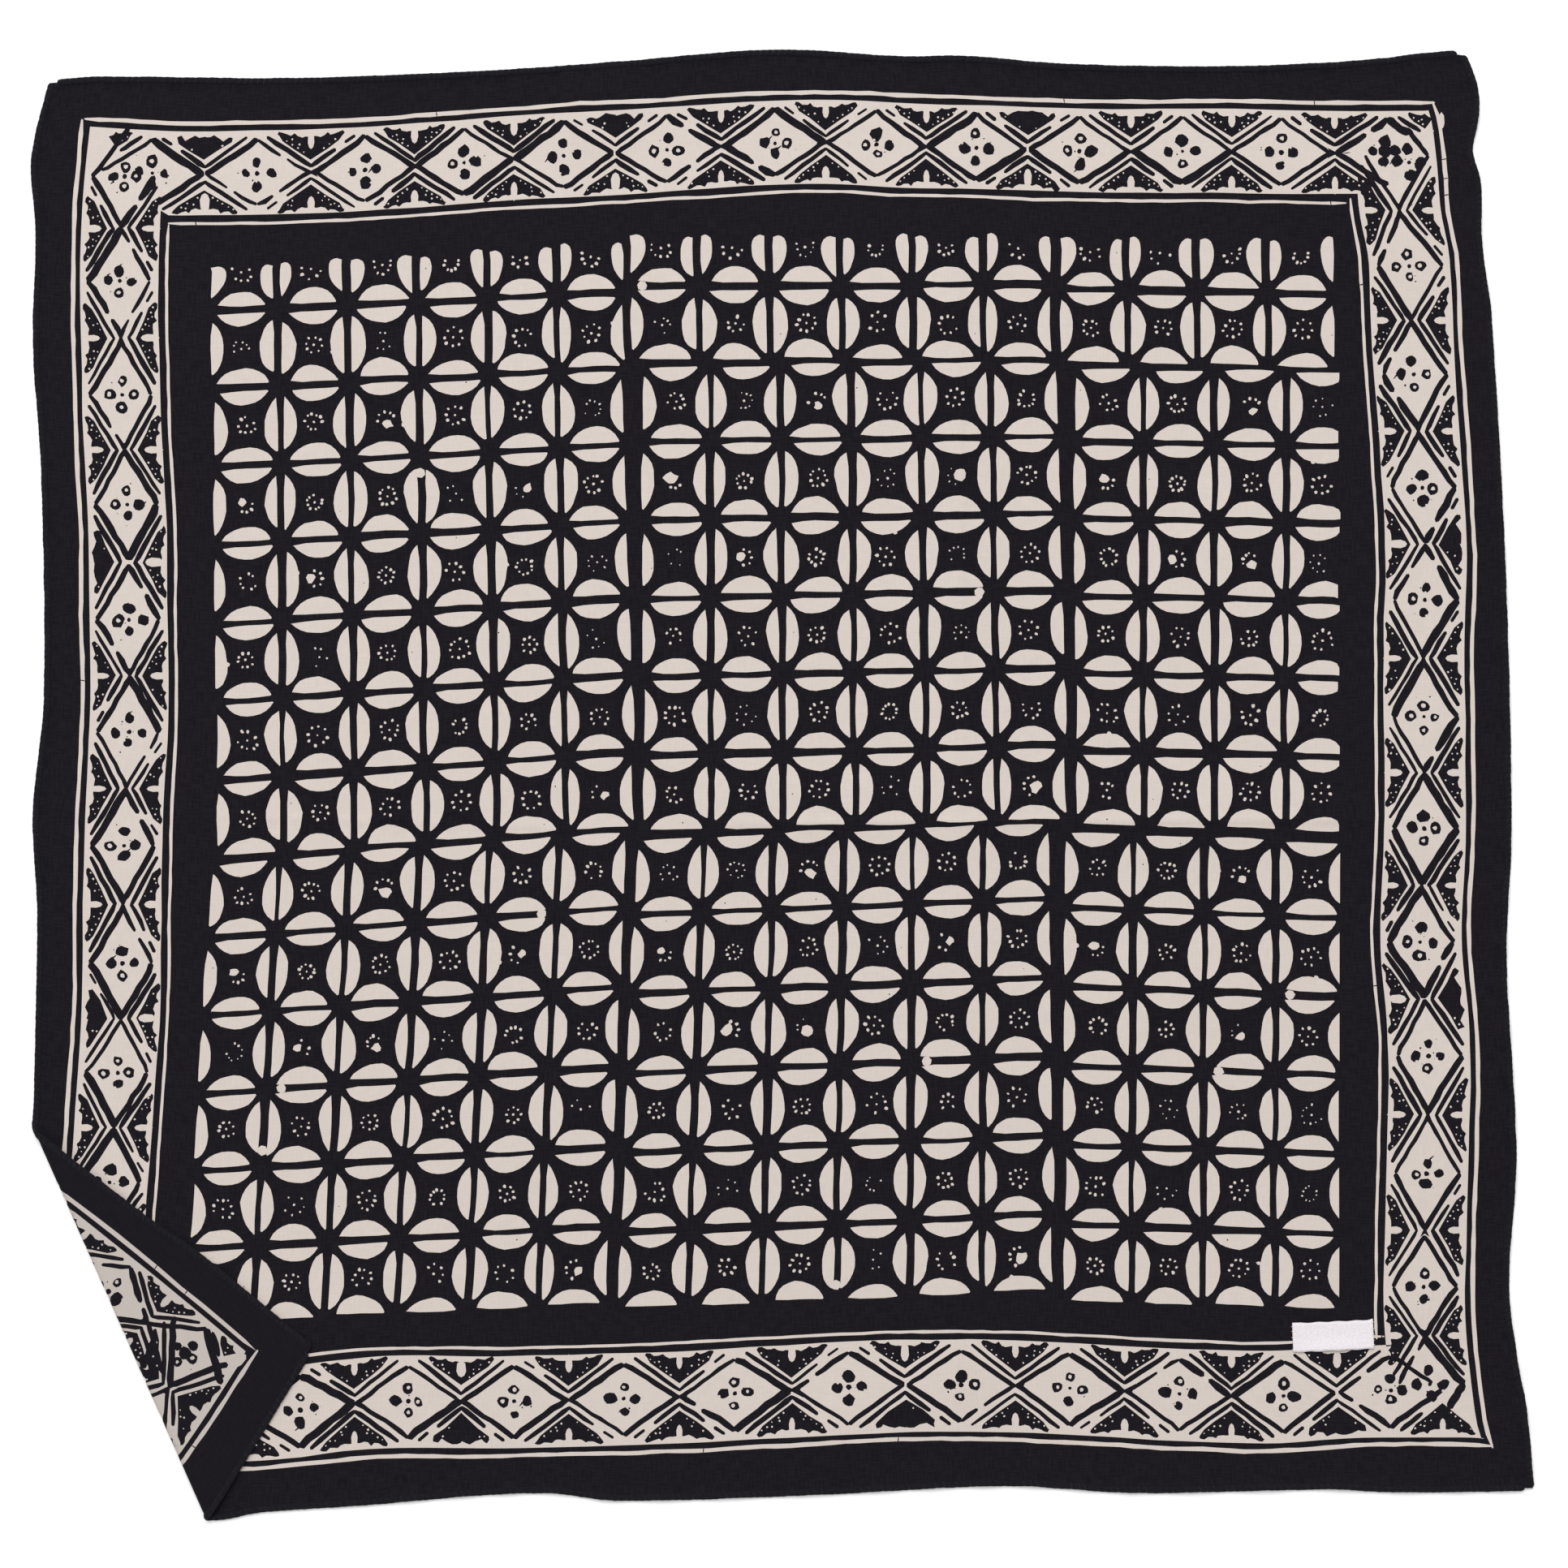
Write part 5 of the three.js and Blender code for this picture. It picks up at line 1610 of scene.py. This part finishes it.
class BANDANA_OT_stage(bpy.types.Operator):
    """Make the floor, the light and the camera"""

    bl_idname = "bandana.stage"
    bl_label = "Make Stage"

    def execute(self, context):
        scene = context.scene
        stage = scene.bandana_stage
        bpy.ops.object.select_all(action="DESELECT")
        bpy.ops.mesh.primitive_plane_add(size=stage.floor_span, location=(0, 0, FLOOR_DROP))
        floor = context.active_object
        floor.name = "floor"
        finish = Finish("pale floor", 0.9, 0.0, 0.0)
        finish.surface.inputs["Base Color"].default_value = linear(scene.bandana_colours.floor)
        floor.data.materials.append(finish.material)
        lamp = bpy.data.lights.new("soft_light", "AREA")
        lamp.shape = "SQUARE"
        lamp.size = stage.light_span
        lamp.energy = stage.light_power
        light = bpy.data.objects.new("soft_light", lamp)
        light.location = LIGHT_PLACE
        light.rotation_euler = (-Vector(LIGHT_PLACE)).to_track_quat("-Z", "Y").to_euler()
        scene.collection.objects.link(light)
        world = bpy.data.worlds.new("soft_world")
        world.use_nodes = True
        world.node_tree.nodes["Background"].inputs["Color"].default_value = (1.0, 1.0, 1.0, 1.0)
        world.node_tree.nodes["Background"].inputs["Strength"].default_value = stage.sky
        scene.world = world
        lens = bpy.data.cameras.new("camera")
        lens.sensor_width = SENSOR_WIDTH
        lens.lens = SENSOR_WIDTH * stage.camera_height / stage.view_width
        camera = bpy.data.objects.new("camera", lens)
        camera.location = (stage.camera_right, stage.camera_up, stage.camera_height)
        scene.collection.objects.link(camera)
        bpy.context.scene.camera = camera
        scene.view_settings.view_transform = "Standard"
        return {"FINISHED"}


class BANDANA_PT_panel(bpy.types.Panel):
    """Lists the steps that make the bandana."""

    bl_idname = "BANDANA_PT_panel"
    bl_label = "Bandana"
    bl_space_type = "VIEW_3D"
    bl_region_type = "UI"
    bl_category = "Bandana"

    def draw(self, context):
        for operator in OPERATORS:
            self.layout.operator(operator.bl_idname)


GROUPS = {
    "bandana_sizes": BandanaSizes, "bandana_print": BandanaPrint, "bandana_colours": BandanaColours,
    "bandana_stage": BandanaStage,
}
OPERATORS = (BANDANA_OT_cloth, BANDANA_OT_hems, BANDANA_OT_stitches, BANDANA_OT_label, BANDANA_OT_stage)


def register():
    for group in GROUPS.values():
        bpy.utils.register_class(group)
    for name, group in GROUPS.items():
        setattr(bpy.types.Scene, name, PointerProperty(type=group))
    for operator in OPERATORS:
        bpy.utils.register_class(operator)
    bpy.utils.register_class(BANDANA_PT_panel)


def unregister():
    bpy.utils.unregister_class(BANDANA_PT_panel)
    for operator in reversed(OPERATORS):
        bpy.utils.unregister_class(operator)
    for name in GROUPS:
        delattr(bpy.types.Scene, name)
    for group in reversed(list(GROUPS.values())):
        bpy.utils.unregister_class(group)


def main():
    register()
    bpy.ops.bandana.cloth()
    bpy.ops.bandana.hems()
    bpy.ops.bandana.stitches()
    bpy.ops.bandana.label()
    bpy.ops.bandana.stage()


if __name__ == "__main__":
    main()
